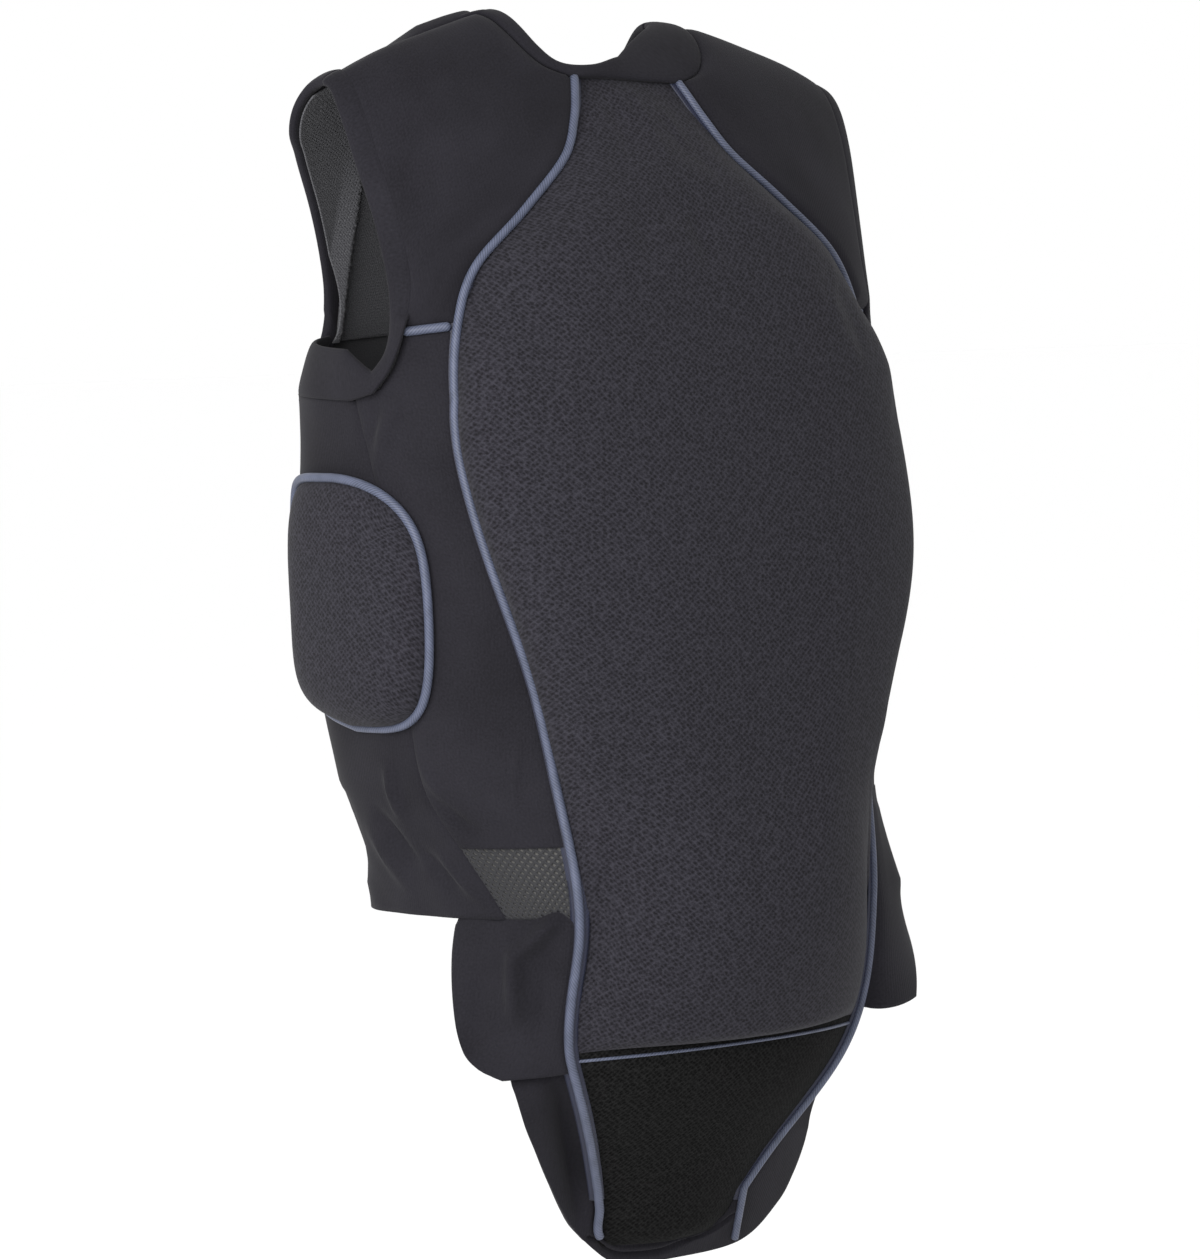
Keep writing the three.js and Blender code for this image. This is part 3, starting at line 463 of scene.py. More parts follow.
# Brushed tricot. A thin soft knit, charcoal where it lines the panels and pale behind the holes of a net.
tricots = {}
for name, dark, light in (
    ("charcoal_brushed_tricot", INSIDE_DARK, INSIDE_LIGHT), ("pale_brushed_tricot", PALE_DARK, PALE_LIGHT),
):
    tricot = new_material(name)
    cut = add(tricot, "ShaderNodeTexCoord").outputs["UV"]
    nap = add(tricot, "ShaderNodeTexNoise", {"Vector": cut, "Scale": 1 / TRICOT_NAP, "Detail": 3})
    nap_colour = add(tricot, "ShaderNodeValToRGB", {"Fac": nap.outputs["Fac"]},
                     stops=[(0.3, dark), (0.6, light)])
    shader = add(tricot, "ShaderNodeBsdfPrincipled", {
        "Base Color": nap_colour.outputs["Color"], "Roughness": 0.85, "Specular IOR Level": 0.15})
    add(tricot, "ShaderNodeOutputMaterial", {"Surface": shader.outputs["BSDF"]})
    tricots[name] = tricot
inside_tricot, pale_tricot = tricots.values()


def hem_lift(side, girth, drop):
    """How far the cloth above the hem stands off the body."""
    within = ease(np.interp(girth, HEM_FLARE_GIRTHS, (0, 1, 1, 0)))
    down = np.clip((drop - HEM_FLARE_TOP) / (HEM - HEM_FLARE_TOP), 0, 1)
    return HEM_FLARE[side] * within * down**HEM_FLARE_GROWTH


neck_front_seam = neck_line(NECK_FRONT, 2, FRONT_ROLL)
for name, side in SIDES.items():

    def lay_front(across, down):
        drop = run_between(down, SHOULDER_LINE, HEM, "front")
        side_seam = smooth(SIDE_SEAM, 1, drop) - SEAM_LAP
        outer = np.where(drop < UNDERARM_SEAM, beside_arm("front", drop), side_seam)
        neck = np.interp(drop, neck_front_seam[1], neck_front_seam[0]) - SEAM_LAP
        neck = np.where(drop < neck_front_seam[1][-1], np.maximum(neck, ZIP_HALF_WIDTH), ZIP_HALF_WIDTH)
        inner = half_girth(drop) - neck + SEAM_LAP
        share = crowd(across)
        girth = outer + (inner - outer) * share
        to_edge = (inner - outer) * np.minimum(share, 1 - share)
        folds = ripple(girth, drop, FRONT_RIPPLE, side) + ripple(girth + drop, drop, FRONT_SLANT_RIPPLE)
        low = np.clip((drop - WRINKLE_START) / WRINKLE_REACH, 0, 1)
        folds = folds * (WRINKLE_ABOVE + WRINKLE_BELOW * low) + crease(girth, drop, FRONT_FOLDS)
        near_neck = np.interp(half_girth(drop) - girth, SHOULDER_EXTRA_GIRTHS, (1, 0))
        crest = SHOULDER_EXTRA * near_neck * np.clip(1 - drop / SHOULDER_EXTRA_DROP, 0, 1)
        from_top = np.interp(drop, ring_drops, runs["front"])
        crest = crest * np.clip(from_top / SHOULDER_EXTRA_START, 0, 1)
        height = panel_height(to_edge) + crest + hem_lift(side, girth, drop)
        return girth, drop, height + folds * np.clip(to_edge / FOLD_FADE, 0, 1)

    front = sew(f"front_panel_{name}_cloth", lay_cloth(FRONT_COLUMNS, FRONT_ROWS, lay_front, side),
                softshell, "softshell", f"front_panel_{name}")
    thicken(front, PANEL_THICKNESS - CLOTH_INSIDE, inside_tricot)

# Front linings. Open knitted net inside the chest. Each is caught in the armhole seam and falls in one
# upright fold, and shows through the arm opening.
LINING_GIRTH = 70
LINING_TOP = 4
LINING_BOTTOM = 166
LINING_HEIGHT = -0.6
LINING_EDGE = 2
LINING_COLUMNS = 34
LINING_ROWS = 54
# Columns: drop, girth of the fold from the centre front, how far it stands out.
LINING_FOLD = [(50, 104, 0), (78, 104, 5), (119, 108, 7), (156, 113, 7), (166, 114, 6)]
LINING_FOLD_FRONT = 2
LINING_FOLD_WIDTH = 15
LINING_CORD = 0.6
NET_THICKNESS = 0.8
LINING_DARK = "#333336"
LINING_LIGHT = "#565659"
NET_DARK = "#161618"
NET_LIGHT = "#27272a"
NET_THREAD = 0.7 * MM


def knit_net(bm, cord):
    """Turns a laid sheet into a net with staggered diamond holes, leaving a cord between them."""
    inner = [edge for edge in bm.edges if not edge.is_boundary]
    bmesh.ops.poke(bm, faces=bm.faces[:])
    bmesh.ops.dissolve_edges(bm, edges=inner, use_verts=False, use_face_split=False)
    diamonds = [face for face in bm.faces if len(face.verts) == 4]
    bmesh.ops.inset_individual(
        bm, faces=diamonds, thickness=cord * MM, use_even_offset=True, use_interpolate=True
    )
    bmesh.ops.delete(bm, geom=diamonds, context="FACES")
    return bm


# Knitted polyester net. Slightly glossy threads stand round open holes, grey in the lining and dark in the
# windows above the hem.
nets = {}
for name, dark, light in (
    ("grey_polyester_net", LINING_DARK, LINING_LIGHT), ("dark_polyester_net", NET_DARK, NET_LIGHT),
):
    net = new_material(name)
    cut = add(net, "ShaderNodeTexCoord").outputs["UV"]
    thread = add(net, "ShaderNodeTexNoise", {"Vector": cut, "Scale": 1 / NET_THREAD, "Detail": 2})
    thread_colour = add(net, "ShaderNodeValToRGB", {"Fac": thread.outputs["Fac"]},
                        stops=[(0.35, dark), (0.68, light)])
    bump = add(net, "ShaderNodeBump", {
        "Strength": 0.4, "Distance": 0.15 * MM, "Height": thread.outputs["Fac"]})
    shader = add(net, "ShaderNodeBsdfPrincipled", {
        "Base Color": thread_colour.outputs["Color"], "Roughness": 0.6, "Specular IOR Level": 0.2,
        "Sheen Weight": 0.05, "Normal": bump.outputs["Normal"]})
    add(net, "ShaderNodeOutputMaterial", {"Surface": shader.outputs["BSDF"]})
    nets[name] = net
lining_net, window_net = nets.values()

for name, side in SIDES.items():

    def lay_lining(across, down):
        drop = run_between(down, LINING_TOP, LINING_BOTTOM, "front")
        arm_girth, arm_drop = armhole_line("front", LINING_EDGE)
        outer = np.interp(drop, arm_drop, arm_girth)
        girth = outer + (half_girth(drop) - LINING_GIRTH - outer) * across
        past = half_girth(drop) - girth - smooth(LINING_FOLD, 1, drop)
        fold = np.clip(past / LINING_FOLD_FRONT, 0, 1) * np.clip(1 - past / LINING_FOLD_WIDTH, 0, 1)
        return girth, drop, LINING_HEIGHT - smooth(LINING_FOLD, 2, drop) * fold

    lining = knit_net(lay_cloth(LINING_COLUMNS, LINING_ROWS, lay_lining, side), LINING_CORD)
    lining = sew(f"front_lining_{name}_net", lining, lining_net, "open_mesh", f"front_lining_{name}")
    thicken(lining, NET_THICKNESS)

# Front zip. A closed nylon coil on woven tape, sewn between the two front panels from the neck to the hem.
# It is plain, because it is out of sight.
ZIP_TOP = 76
ZIP_THICKNESS = 4
ZIP_COIL_HALF_WIDTH = 2.4
ZIP_COIL_SLOPE = 0.6
ZIP_TEETH = (0.75, 0.25)
ZIP_COIL_PITCH = 2.5
ZIP_TAPE = 1.8
ZIP_COLUMNS = 24
ZIP_ROWS = 480
ZIP_DARK = "#1b1b1e"
ZIP_LIGHT = "#2a2a2e"
ZIP_WEAVE = 0.9 * MM


def lay_zip(across, down):
    drop = run_between(down, ZIP_TOP, HEM, "front")
    aside = ZIP_HALF_WIDTH * (1 - 2 * across)
    girth = np.where(aside < 0, -1, 1) * (half_girth(drop) - np.abs(aside))
    coil = np.clip((ZIP_COIL_HALF_WIDTH - np.abs(aside)) / ZIP_COIL_SLOPE, 0, 1)
    length = np.interp(drop, ring_drops, runs["front"])
    teeth = ZIP_TEETH[0] + ZIP_TEETH[1] * np.cos(2 * np.pi * length / ZIP_COIL_PITCH)
    return girth, drop, ZIP_TAPE + (ZIP_THICKNESS - ZIP_TAPE) * coil * teeth


# Woven nylon tape. Matt black with a fine plain weave.
zip_tape = new_material("woven_nylon_tape")
cut = add(zip_tape, "ShaderNodeTexCoord").outputs["UV"]
weave = add(zip_tape, "ShaderNodeTexChecker", {
    "Vector": cut, "Scale": 1 / ZIP_WEAVE, "Color1": linear(ZIP_DARK), "Color2": linear(ZIP_LIGHT)})
bump = add(zip_tape, "ShaderNodeBump", {
    "Strength": 0.4, "Distance": 0.1 * MM, "Height": weave.outputs["Fac"]})
shader = add(zip_tape, "ShaderNodeBsdfPrincipled", {
    "Base Color": weave.outputs["Color"], "Roughness": 0.55, "Normal": bump.outputs["Normal"]})
add(zip_tape, "ShaderNodeOutputMaterial", {"Surface": shader.outputs["BSDF"]})
front_zip = lay_cloth(ZIP_COLUMNS, ZIP_ROWS, lay_zip, 1)
front_zip = sew("front_zip_tape", front_zip, zip_tape, "zip_tape", "front_zip")
thicken(front_zip, ZIP_TAPE - CLOTH_INSIDE)

# Side panels. Stretch softshell between the back pad and the front panel, sewn under the yoke at the top.
# They wrinkle where the waist pulls in above the hem.
YOKE_SEAM = 156
MESH_TOP = 438
SIDE_COLUMNS = 60
SIDE_ROWS = 150
PIPING_TUCK = 1
PIPING_LAP = 1.5
SIDE_RIPPLE = (40, 70, 2.5, 0.6)
SIDE_SLANT_RIPPLE = (60, 22, 7.5, 1)
# Columns: girth and drop of one end, girth and drop of the other, width, rise.
SIDE_FOLDS = [
    (190, 384, 168, 418, 4.5, 4.2),
    (126, 378, 131, 420, 1.6, 1.3),
    (174, 194, 199, 242, 5, 4.0),
    (186, 200, 204, 236, 4, -2.5),
    (172, 418, 146, 433, 3.5, -2.6),
    (184, 402, 160, 428, 3.5, -3.2),
]
# Columns: drop, girth of the cord along the back pad and the tail.
PAD_EDGE = [
    (34, 35), (55, 44), (75, 57), (97, 86), (122, 119), (150, 134), (200, 145), (240, 146), (290, 139),
    (360, 117), (410, 107), (480, 103), (525, 103), (555, 96), (612, 63), (640, 49), (654, 45), (662, 39),
]


def pad_edge(drop):
    return smooth(PAD_EDGE, 1, drop)


for name, side in SIDES.items():

    def lay_side(across, down):
        drop = run_between(down, YOKE_SEAM - PIPING_LAP, MESH_TOP, "back")
        inner = pad_edge(drop) - PIPING_LAP
        side_seam = smooth(SIDE_SEAM, 1, drop) + SEAM_LAP
        outer = np.where(drop < UNDERARM_SEAM, beside_arm("back", drop), side_seam)
        share = crowd(across)
        girth = inner + (outer - inner) * share
        to_edge = np.minimum(girth - pad_edge(drop) - PIPING_TUCK, outer - girth)
        to_edge = np.minimum(to_edge, drop - YOKE_SEAM - PIPING_TUCK)
        low = np.clip((drop - WRINKLE_START) / WRINKLE_REACH, 0, 1)
        folds = ripple(girth, drop, SIDE_RIPPLE) + low * ripple(girth + drop, drop - girth, SIDE_SLANT_RIPPLE)
        folds += crease(girth, drop, SIDE_FOLDS)
        return girth, drop, panel_height(to_edge) + folds * np.clip(to_edge / FOLD_FADE, 0, 1)

    panel = sew(f"side_panel_{name}_cloth", lay_cloth(SIDE_COLUMNS, SIDE_ROWS, lay_side, side),
                softshell, "softshell", f"side_panel_{name}")
    thicken(panel, PANEL_THICKNESS - CLOTH_INSIDE)

# Mesh windows. Open knitted net above the hem, sewn between the back pad and the slanting edge of the front
# panel, with a layer of pale tricot behind its holes.
MESH_HEIGHT = 1.8
MESH_COLUMNS = 13
MESH_ROWS = 10
WINDOW_CORD = 0.75
BACKING_HEIGHT = 0.9

for name, side in SIDES.items():

    def lay_mesh(across, down):
        drop = run_between(down, MESH_TOP - SEAM_TUCK, HEM, "back")
        inner = pad_edge(drop) - PIPING_LAP
        girth = inner + (smooth(SIDE_SEAM, 1, drop) + SEAM_TUCK - inner) * across
        return girth, drop, MESH_HEIGHT + hem_lift(side, girth, drop)

    def lay_backing(across, down):
        girth, drop, height = lay_mesh(across, down)
        return girth, drop, height - MESH_HEIGHT + BACKING_HEIGHT

    net = knit_net(lay_cloth(MESH_COLUMNS, MESH_ROWS, lay_mesh, side), WINDOW_CORD)
    net = sew(f"mesh_window_{name}_net", net, window_net, "open_mesh", f"mesh_window_{name}")
    backing = lay_cloth(MESH_COLUMNS, MESH_ROWS, lay_backing, side)
    backing = sew(f"mesh_window_{name}_backing", backing, pale_tricot, "open_mesh", f"mesh_window_{name}")
    for layer in (net, backing):
        thicken(layer, NET_THICKNESS)

# Yokes. Softshell over thin foam on the shoulders, between the neck band, the back pad and the armhole band,
# with a full rounded edge along the top of the shoulder.
YOKE_THICKNESS = 6
YOKE_ROLL = 11
YOKE_ARM_HEIGHT = 4.6
YOKE_COLUMNS = 70
YOKE_ROWS = 130
YOKE_RIPPLE = (45, 45, 3.5, 0.9)
NECK_CORNER = 33
# Columns: girth and drop of the open edge, girth and drop of the seam, from the centre back outwards.
NECK_BACK = [
    (0, 27, 0, 33.4), (24, 27, 22, 33.4), (42, 26, 38, 33), (50, 18, 54, 25), (54, 7, 63, 10), (56, 0, 67, 0),
]
neck_back_seam = neck_line(NECK_BACK, 2, BACK_ROLL)

for name, side in SIDES.items():

    def lay_yoke(across, down):
        drop = run_between(down, SHOULDER_LINE, YOKE_SEAM + PIPING_LAP, "back")
        neck = np.interp(drop, neck_back_seam[1][::-1], neck_back_seam[0][::-1]) - SEAM_LAP
        inner = np.where(drop < NECK_CORNER, neck, pad_edge(drop) - PIPING_LAP)
        outer = beside_arm("back", drop)
        share = crowd(across)
        girth = inner + (outer - inner) * share
        from_top = np.interp(drop, ring_drops, runs["back"])
        to_inner = np.where(drop < NECK_CORNER, girth - inner, girth - pad_edge(drop) - PIPING_TUCK)
        to_edge = np.minimum(np.minimum(to_inner, YOKE_SEAM - PIPING_TUCK - drop), from_top + SEAM_LAP)
        height = panel_height(to_edge, YOKE_THICKNESS, YOKE_ROLL)
        beside_band = YOKE_ARM_HEIGHT + (YOKE_THICKNESS - YOKE_ARM_HEIGHT) * rolled(outer - girth, SEAM_ROLL)
        folds = ripple(girth, drop, YOKE_RIPPLE, side)
        folds *= np.clip(np.minimum(to_edge, outer - girth) / FOLD_FADE, 0, 1)
        return girth, drop, np.minimum(height, beside_band) + folds

    yoke = sew(f"yoke_{name}_cloth", lay_cloth(YOKE_COLUMNS, YOKE_ROWS, lay_yoke, side),
               softshell, "softshell", f"yoke_{name}")
    thicken(yoke, YOKE_THICKNESS / 2, inside_tricot)

# Armhole bands. A strip of softshell folded over soft wadding and sewn right round each arm opening, with a
# short loose tab where its ends overlap under the left arm.
BAND_THICKNESS = 6
# Columns: girth, how far the band's edge rises under the arm, how far it leans in.
UNDERARM = [
    (184, 0, 0), (190, 2, 0), (213, 31, 7), (240, 33, 22), (270, 30, 24), (300, 16, 13), (318, 2, 1),
    (330, 0, 0),
]
UNDERARM_START = 150
BAND_SINK = 2.6
TAB_GIRTHS = (150, 162, 198, 210)
TAB_RISE = 7
BAND_ROUNDNESS = 2.8
BAND_AROUND = 28
BAND_STATIONS = 260
BAND_WELD = 0.02 * MM


def round_section(turn, roundness):
    """Shares across and up of a rounded oblong section, by the turn round it."""
    angle = 2 * np.pi * turn
    across = np.sign(np.cos(angle)) * np.abs(np.cos(angle)) ** (2 / roundness)
    up = np.sign(np.sin(angle)) * np.abs(np.sin(angle)) ** (2 / roundness)
    return (1 + across) / 2, (1 + up) / 2


def close_tube(bm, weld):
    """Joins the two sides of a rolled grid and closes its ends."""
    bmesh.ops.remove_doubles(bm, verts=bm.verts[:], dist=weld)
    bmesh.ops.holes_fill(bm, edges=bm.edges[:])
    bmesh.ops.recalc_face_normals(bm, faces=bm.faces[:])
    return bm


def bind_edge(edge, seam, thickness, stations):
    """A rounded band between two lines on the body form, each given as signed girths, drops and heights."""
    middle = place((edge[0] + seam[0]) / 2, (edge[1] + seam[1]) / 2, np.full(len(edge[0]), thickness))
    length = length_along(middle)
    bm, shares = new_grid(BAND_AROUND, stations)
    along = shares[:, 1] * length[-1]
    part, up = round_section(shares[:, 0], BAND_ROUNDNESS)
    lines = [np.interp(along, length, line) for line in (*edge, *seam)]
    girth = lines[0] + (lines[3] - lines[0]) * part
    drop = lines[1] + (lines[4] - lines[1]) * part
    height = CLOTH_INSIDE + (thickness - CLOTH_INSIDE) * up + lines[2] + (lines[5] - lines[2]) * part
    move_points(bm.verts, place(girth, drop, height))
    lie_flat(bm, np.stack([shares[:, 0] * 2 * (BAND_WIDTH + thickness) * MM, along], -1))
    return close_tube(bm, BAND_WELD)


for name, side in SIDES.items():
    lines = []
    for distance in (0, BAND_WIDTH):
        back_line = armhole_line("back", distance)
        front_line = armhole_line("front", distance)
        girth = np.append(back_line[0], front_line[0][-2::-1])
        drop = np.append(back_line[1], front_line[1][-2::-1])
        near = (drop > UNDERARM_START) * (1 - distance / BAND_WIDTH)
        drop = drop - near * smooth(UNDERARM, 1, girth)
        level = BAND_SINK * np.clip((drop - UNDERARM_START) / BAND_WIDTH, 0, 1) * distance / BAND_WIDTH
        has_tab = (side > 0) * (drop > UNDERARM_START)
        tab = has_tab * TAB_RISE * np.interp(girth, TAB_GIRTHS, (0, 1, 1, 0))
        level = level - tab * distance / BAND_WIDTH
        lines.append([side * girth, drop, -near * smooth(UNDERARM, 2, girth) - level])
    band = bind_edge(*lines, BAND_THICKNESS, BAND_STATIONS)
    band = sew(f"armhole_band_{name}_cloth", band, softshell, "softshell", f"armhole_band_{name}")

# Neck band. The same strip of softshell folded over wadding, sewn round the neck from one side of the zip
# over the shoulders to the other.
NECK_THICKNESS = 6
NECK_STATIONS = 240
# The open edge, which stands wider over the right shoulder. Columns: girth, drop.
LEFT_EDGE_BACK = [(0, 21.5), (20, 27), (41, 26.2), (50, 18), (54, 7), (56, 0)]
RIGHT_EDGE_BACK = [(0, 21.5), (6, 17.5), (18, 10.5), (30, 5), (40, 1.5), (45, 0)]
RIGHT_EDGE_FRONT = [(45, 0), (57, 12), (53, 35), (33, 60), (8.5, 74)]


def half_neck(back, front, girth_column):
    """Girth and drop of a line round half the neck, from the centre back over the shoulder to the zip."""
    back_line = neck_line(back, girth_column, BACK_ROLL)
    front_line = neck_line(front, girth_column, FRONT_ROLL)
    girth = np.append(back_line[0], half_girth(front_line[1][1:]) - front_line[0][1:])
    return girth, np.append(back_line[1], front_line[1][1:])


lines = []
for column, left_back, right_back, right_front in (
    (0, LEFT_EDGE_BACK, RIGHT_EDGE_BACK, RIGHT_EDGE_FRONT),
    (2, NECK_BACK, NECK_BACK, NECK_FRONT),
):
    left_girth, left_drop = half_neck(left_back, NECK_FRONT, column)
    right_girth, right_drop = half_neck(right_back, right_front, column)
    drop = np.append(left_drop[::-1], right_drop[1:])
    lines.append([np.append(left_girth[::-1], -right_girth[1:]), drop, np.zeros_like(drop)])
neck_band = bind_edge(*lines, NECK_THICKNESS, NECK_STATIONS)
neck_band = sew("neck_band_cloth", neck_band, softshell, "softshell", "neck_band")

# Back pad and tail pad. Foam under spacer knit, sewn into the piping all round and across the low back, so
# that each swells up from its seams. The tail pad is thinner, in a closer knit that is darker, and its
# colours are darkened further with painted shade because the tail faces down.
PAD_TOP = 34.6
CROSS_SEAM = 548
TAIL_END = 662
PAD_FULL = 24.5
TAIL_FULL = 11
# Columns: drop, how far the edge's roll reaches, and its power: 0.5 for a quarter round, 1 for a slope.
PAD_ROLL = [
    (34, 64, 1), (105, 66, 1), (150, 48, 0.75), (200, 30, 0.5), (380, 30, 0.5), (430, 62, 0.8), (470, 95, 1),
    (548, 96, 1), (662, 40, 1),
]
PAD_TOP_ROLL = 90
CROSS_ROLL = 13
CROSS_LAP = 3
# How far the cross seam dips at the middle, how much more on the left than on the right, and at both ends.
CROSS_BOW = (-5.5, 1.5, 7)
CROSS_BOW_REACH = 70
CROSS_CORD_RADIUS = 0.9
CROSS_CORD_DOWN = 0.13
CROSS_CORD_ENDS = (0.02, 0.98)
CROSS_CORD_STEPS = 90
PAD_TUCK = 4
PAD_COLUMNS = 78
PAD_ROWS = 150
TAIL_ROWS = 44
PAD_PRESSURE = 6
PAD_CAP = 3 * MM
CLOTH_FRAMES = 20
CLOTH_QUALITY = 4
KNIT_PITCH = 2.3 * MM
KNIT_HOLE = "#131215"
KNIT_THREAD = "#201f24"
KNIT_SPECK = "#2c2b31"
KNIT_BLOOM = 0.04
TAIL_PITCH = 2.2 * MM
# Colours of the tail knit: a darker knit, darkened further with painted shade for the downward-facing tail.
TAIL_SHADED_HOLE = "#060606"
TAIL_SHADED_THREAD = "#111111"
TAIL_SHADED_SPECK = "#1b1b1b"
TAIL_BLOOM = 0.012
FUZZ_PER_EYELET = 2.4
DIAGONAL = math.radians(45)


def close_pad(face, base):
    """Sews a pad's face to its base sheet along the rim."""
    rim = [edge for edge in face.edges if edge.is_boundary]
    base_mesh = bpy.data.meshes.new("base")
    base.to_mesh(base_mesh)
    base.free()
    face.from_mesh(base_mesh)
    bpy.data.meshes.remove(base_mesh)
    sewn = set(rim)
    base_rim = [edge for edge in face.edges if edge.is_boundary and edge not in sewn]
    bmesh.ops.bridge_loops(face, edges=rim + base_rim)
    bmesh.ops.recalc_face_normals(face, faces=face.faces[:])
    return face


def swell(piece, face_count, is_rim):
    """Fills a pad by pressure on its face, with its rim and base held, and caps how far it moves."""
    rest = np.array([vert.co for vert in piece.data.vertices])
    held = np.ones(len(rest), bool)
    held[:face_count] = is_rim
    sewn = piece.vertex_groups.new(name="sewn")
    sewn.add([int(i) for i in np.flatnonzero(held)], 1, "REPLACE")
    cloth = piece.modifiers.new("swell", "CLOTH")
    cloth.settings.quality = CLOTH_QUALITY
    cloth.settings.vertex_group_mass = sewn.name
    cloth.settings.use_pressure = True
    cloth.settings.uniform_pressure_force = PAD_PRESSURE
    cloth.settings.effector_weights.gravity = 0
    for step in range(1, CLOTH_FRAMES + 1):
        bpy.context.scene.frame_set(step)
    filled = piece.evaluated_get(bpy.context.evaluated_depsgraph_get()).data
    moved = np.array([vert.co for vert in filled.vertices]) - rest
    reach = np.linalg.norm(moved, axis=1, keepdims=True)
    moved *= np.minimum(1, PAD_CAP / np.maximum(reach, PAD_CAP))
    piece.modifiers.remove(cloth)
    piece.vertex_groups.remove(sewn)
    move_points(piece.data.vertices, rest + moved)
    bpy.context.scene.frame_set(1)


def make_pad(node_name, columns, rows, lay_face, base_height, side, knit, slot):
    """A pad with a laid face on a flat base, filled, and sewn on in place of its solid."""

    def lay_base(across, down):
        girth, drop, height = lay_face(across, down)
        return girth, drop, np.full_like(height, base_height)

    face = lay_cloth(columns, rows, lay_face, side)
    face_count = len(face.verts)
    is_rim = [vert.is_boundary for vert in face.verts]
    pad = close_pad(face, lay_cloth(columns, rows, lay_base, side))
    pad = sew(f"{node_name}_cover", pad, knit, slot, node_name)
    swell(pad, face_count, is_rim)
    soften = pad.modifiers.new("soften", "SUBSURF")
    soften.levels = soften.render_levels = 1


# Spacer knit. A three-layer knit whose face has staggered eyelets between light fuzzy threads. The eyelets
# are drawn a little wider than the real ones, so that they show as a fine speckle.
# The tail has a closer knit of the same kind, darker, with painted shade added to its colours for the
# downward-facing tail.
knits = {}
for name, pitch, hole, thread, speck, bloom in (
    ("warp_knit_spacer_cloth", KNIT_PITCH, KNIT_HOLE, KNIT_THREAD, KNIT_SPECK, KNIT_BLOOM),
    ("close_warp_knit_with_painted_shade", TAIL_PITCH, TAIL_SHADED_HOLE, TAIL_SHADED_THREAD, TAIL_SHADED_SPECK, TAIL_BLOOM),
):
    knit = new_material(name)
    cut = add(knit, "ShaderNodeTexCoord").outputs["UV"]
    turned = add(knit, "ShaderNodeMapping", {"Vector": cut, "Rotation": (0, 0, DIAGONAL)})
    eyelets = add(knit, "ShaderNodeTexVoronoi", {
        "Vector": turned.outputs["Vector"], "Scale": 1 / pitch, "Randomness": 0.4})
    fuzz = add(knit, "ShaderNodeTexNoise", {"Vector": cut, "Scale": FUZZ_PER_EYELET / pitch, "Detail": 2})
    blend = add(knit, "ShaderNodeMix", {
        "Factor": 0.5, "A": eyelets.outputs["Distance"], "B": fuzz.outputs["Fac"]})
    colour = add(knit, "ShaderNodeValToRGB", {"Fac": blend.outputs["Result"]},
                 stops=[(0.3, hole), (0.46, thread), (0.62, speck)])
    bump = add(knit, "ShaderNodeBump", {
        "Strength": 0.5, "Distance": 0.5 * MM, "Height": blend.outputs["Result"]})
    shader = add(knit, "ShaderNodeBsdfPrincipled", {
        "Base Color": colour.outputs["Color"], "Roughness": 0.9, "Specular IOR Level": 2 * bloom,
        "Sheen Weight": bloom, "Sheen Roughness": 0.5, "Normal": bump.outputs["Normal"]})
    add(knit, "ShaderNodeOutputMaterial", {"Surface": shader.outputs["BSDF"]})
    knits[name] = knit
spacer_knit, dark_knit = knits.values()


def cross_bow(part):
    """How far the cross seam lies below its drop, by the share of the way out from the middle."""
    return CROSS_BOW[0] + CROSS_BOW[1] * part + CROSS_BOW[2] * part**2


for node_name, top, bottom, top_roll, top_power, rows, full, knit, slot in (
    ("back_pad", PAD_TOP - PAD_TUCK, CROSS_SEAM, PAD_TOP_ROLL, 2, PAD_ROWS, PAD_FULL,
     spacer_knit, "spacer_knit"),
    ("tail_pad", CROSS_SEAM - CROSS_LAP, TAIL_END + PAD_TUCK, CROSS_ROLL, 1, TAIL_ROWS, TAIL_FULL,
     dark_knit, "dark_knit"),
):

    def lay_pad(across, down):
        drop = run_between(crowd(down), top, bottom, "back")
        reach = pad_edge(drop) + PIPING_LAP
        part = 2 * crowd(across) - 1
        to_side = pad_edge(drop) - PIPING_TUCK - reach * np.abs(part)
        to_side = np.clip(to_side / smooth(PAD_ROLL, 1, drop), 0, 1)
        sides = (1 - (1 - to_side) ** 2) ** smooth(PAD_ROLL, 2, drop)
        ends = rolled(drop - top, top_roll) ** top_power * rolled(bottom - drop, CROSS_ROLL)
        bow = cross_bow(part) * np.clip(1 - np.abs(drop - CROSS_SEAM) / CROSS_BOW_REACH, 0, 1)
        return reach * part, drop + bow, SEAM_HEIGHT + (full - SEAM_HEIGHT) * sides * ends

    make_pad(node_name, PAD_COLUMNS, rows, lay_pad, CLOTH_INSIDE, 1, knit, slot)

# Pipings. Cord wrapped in satin cloth on the bias round the back pad and the tail, with a navy lip along both
# sides of the cord: a dark strip of painted shade that stands for the shaded grooves beside the cord. A short
# one lies under each yoke, and a fine one in the cross seam.
PIPING_RADIUS = 2.5
PIPING_HEIGHT = 3.4
PIPING_CHANNEL = 3.4
PIPING_TOP = 32
# Where each piping ends, and its radius. The right one runs straight down to its end.
PIPING_RUNS = {1: (659, 2.5), -1: (672, 2.1)}
RIGHT_END_DROPS = (640, 672)
RIGHT_END_GIRTHS = (49, 55)
RIGHT_END_RISE = 1
YOKE_PIPING_HEIGHTS = {1: 3.4, -1: -0.8}
LIP_HALF_WIDTH = 5
LIP_HEIGHT = 2.9
LIP_FALL = 1.1
LIP_SHORT = 24
LIP_THICKNESS = 0.8
LIP_COLUMNS = 8
PIPING_AROUND = 16
PIPING_STEPS = 420
PIPING_SAMPLES = 700
CORD_TIP = 0.02
CORD_WELD = 0.005 * MM
CORD_PROBE = 1
YOKE_PIPING_STEPS = 60
PIPING_DARK = "#343947"
PIPING_LIGHT = "#4d5265"
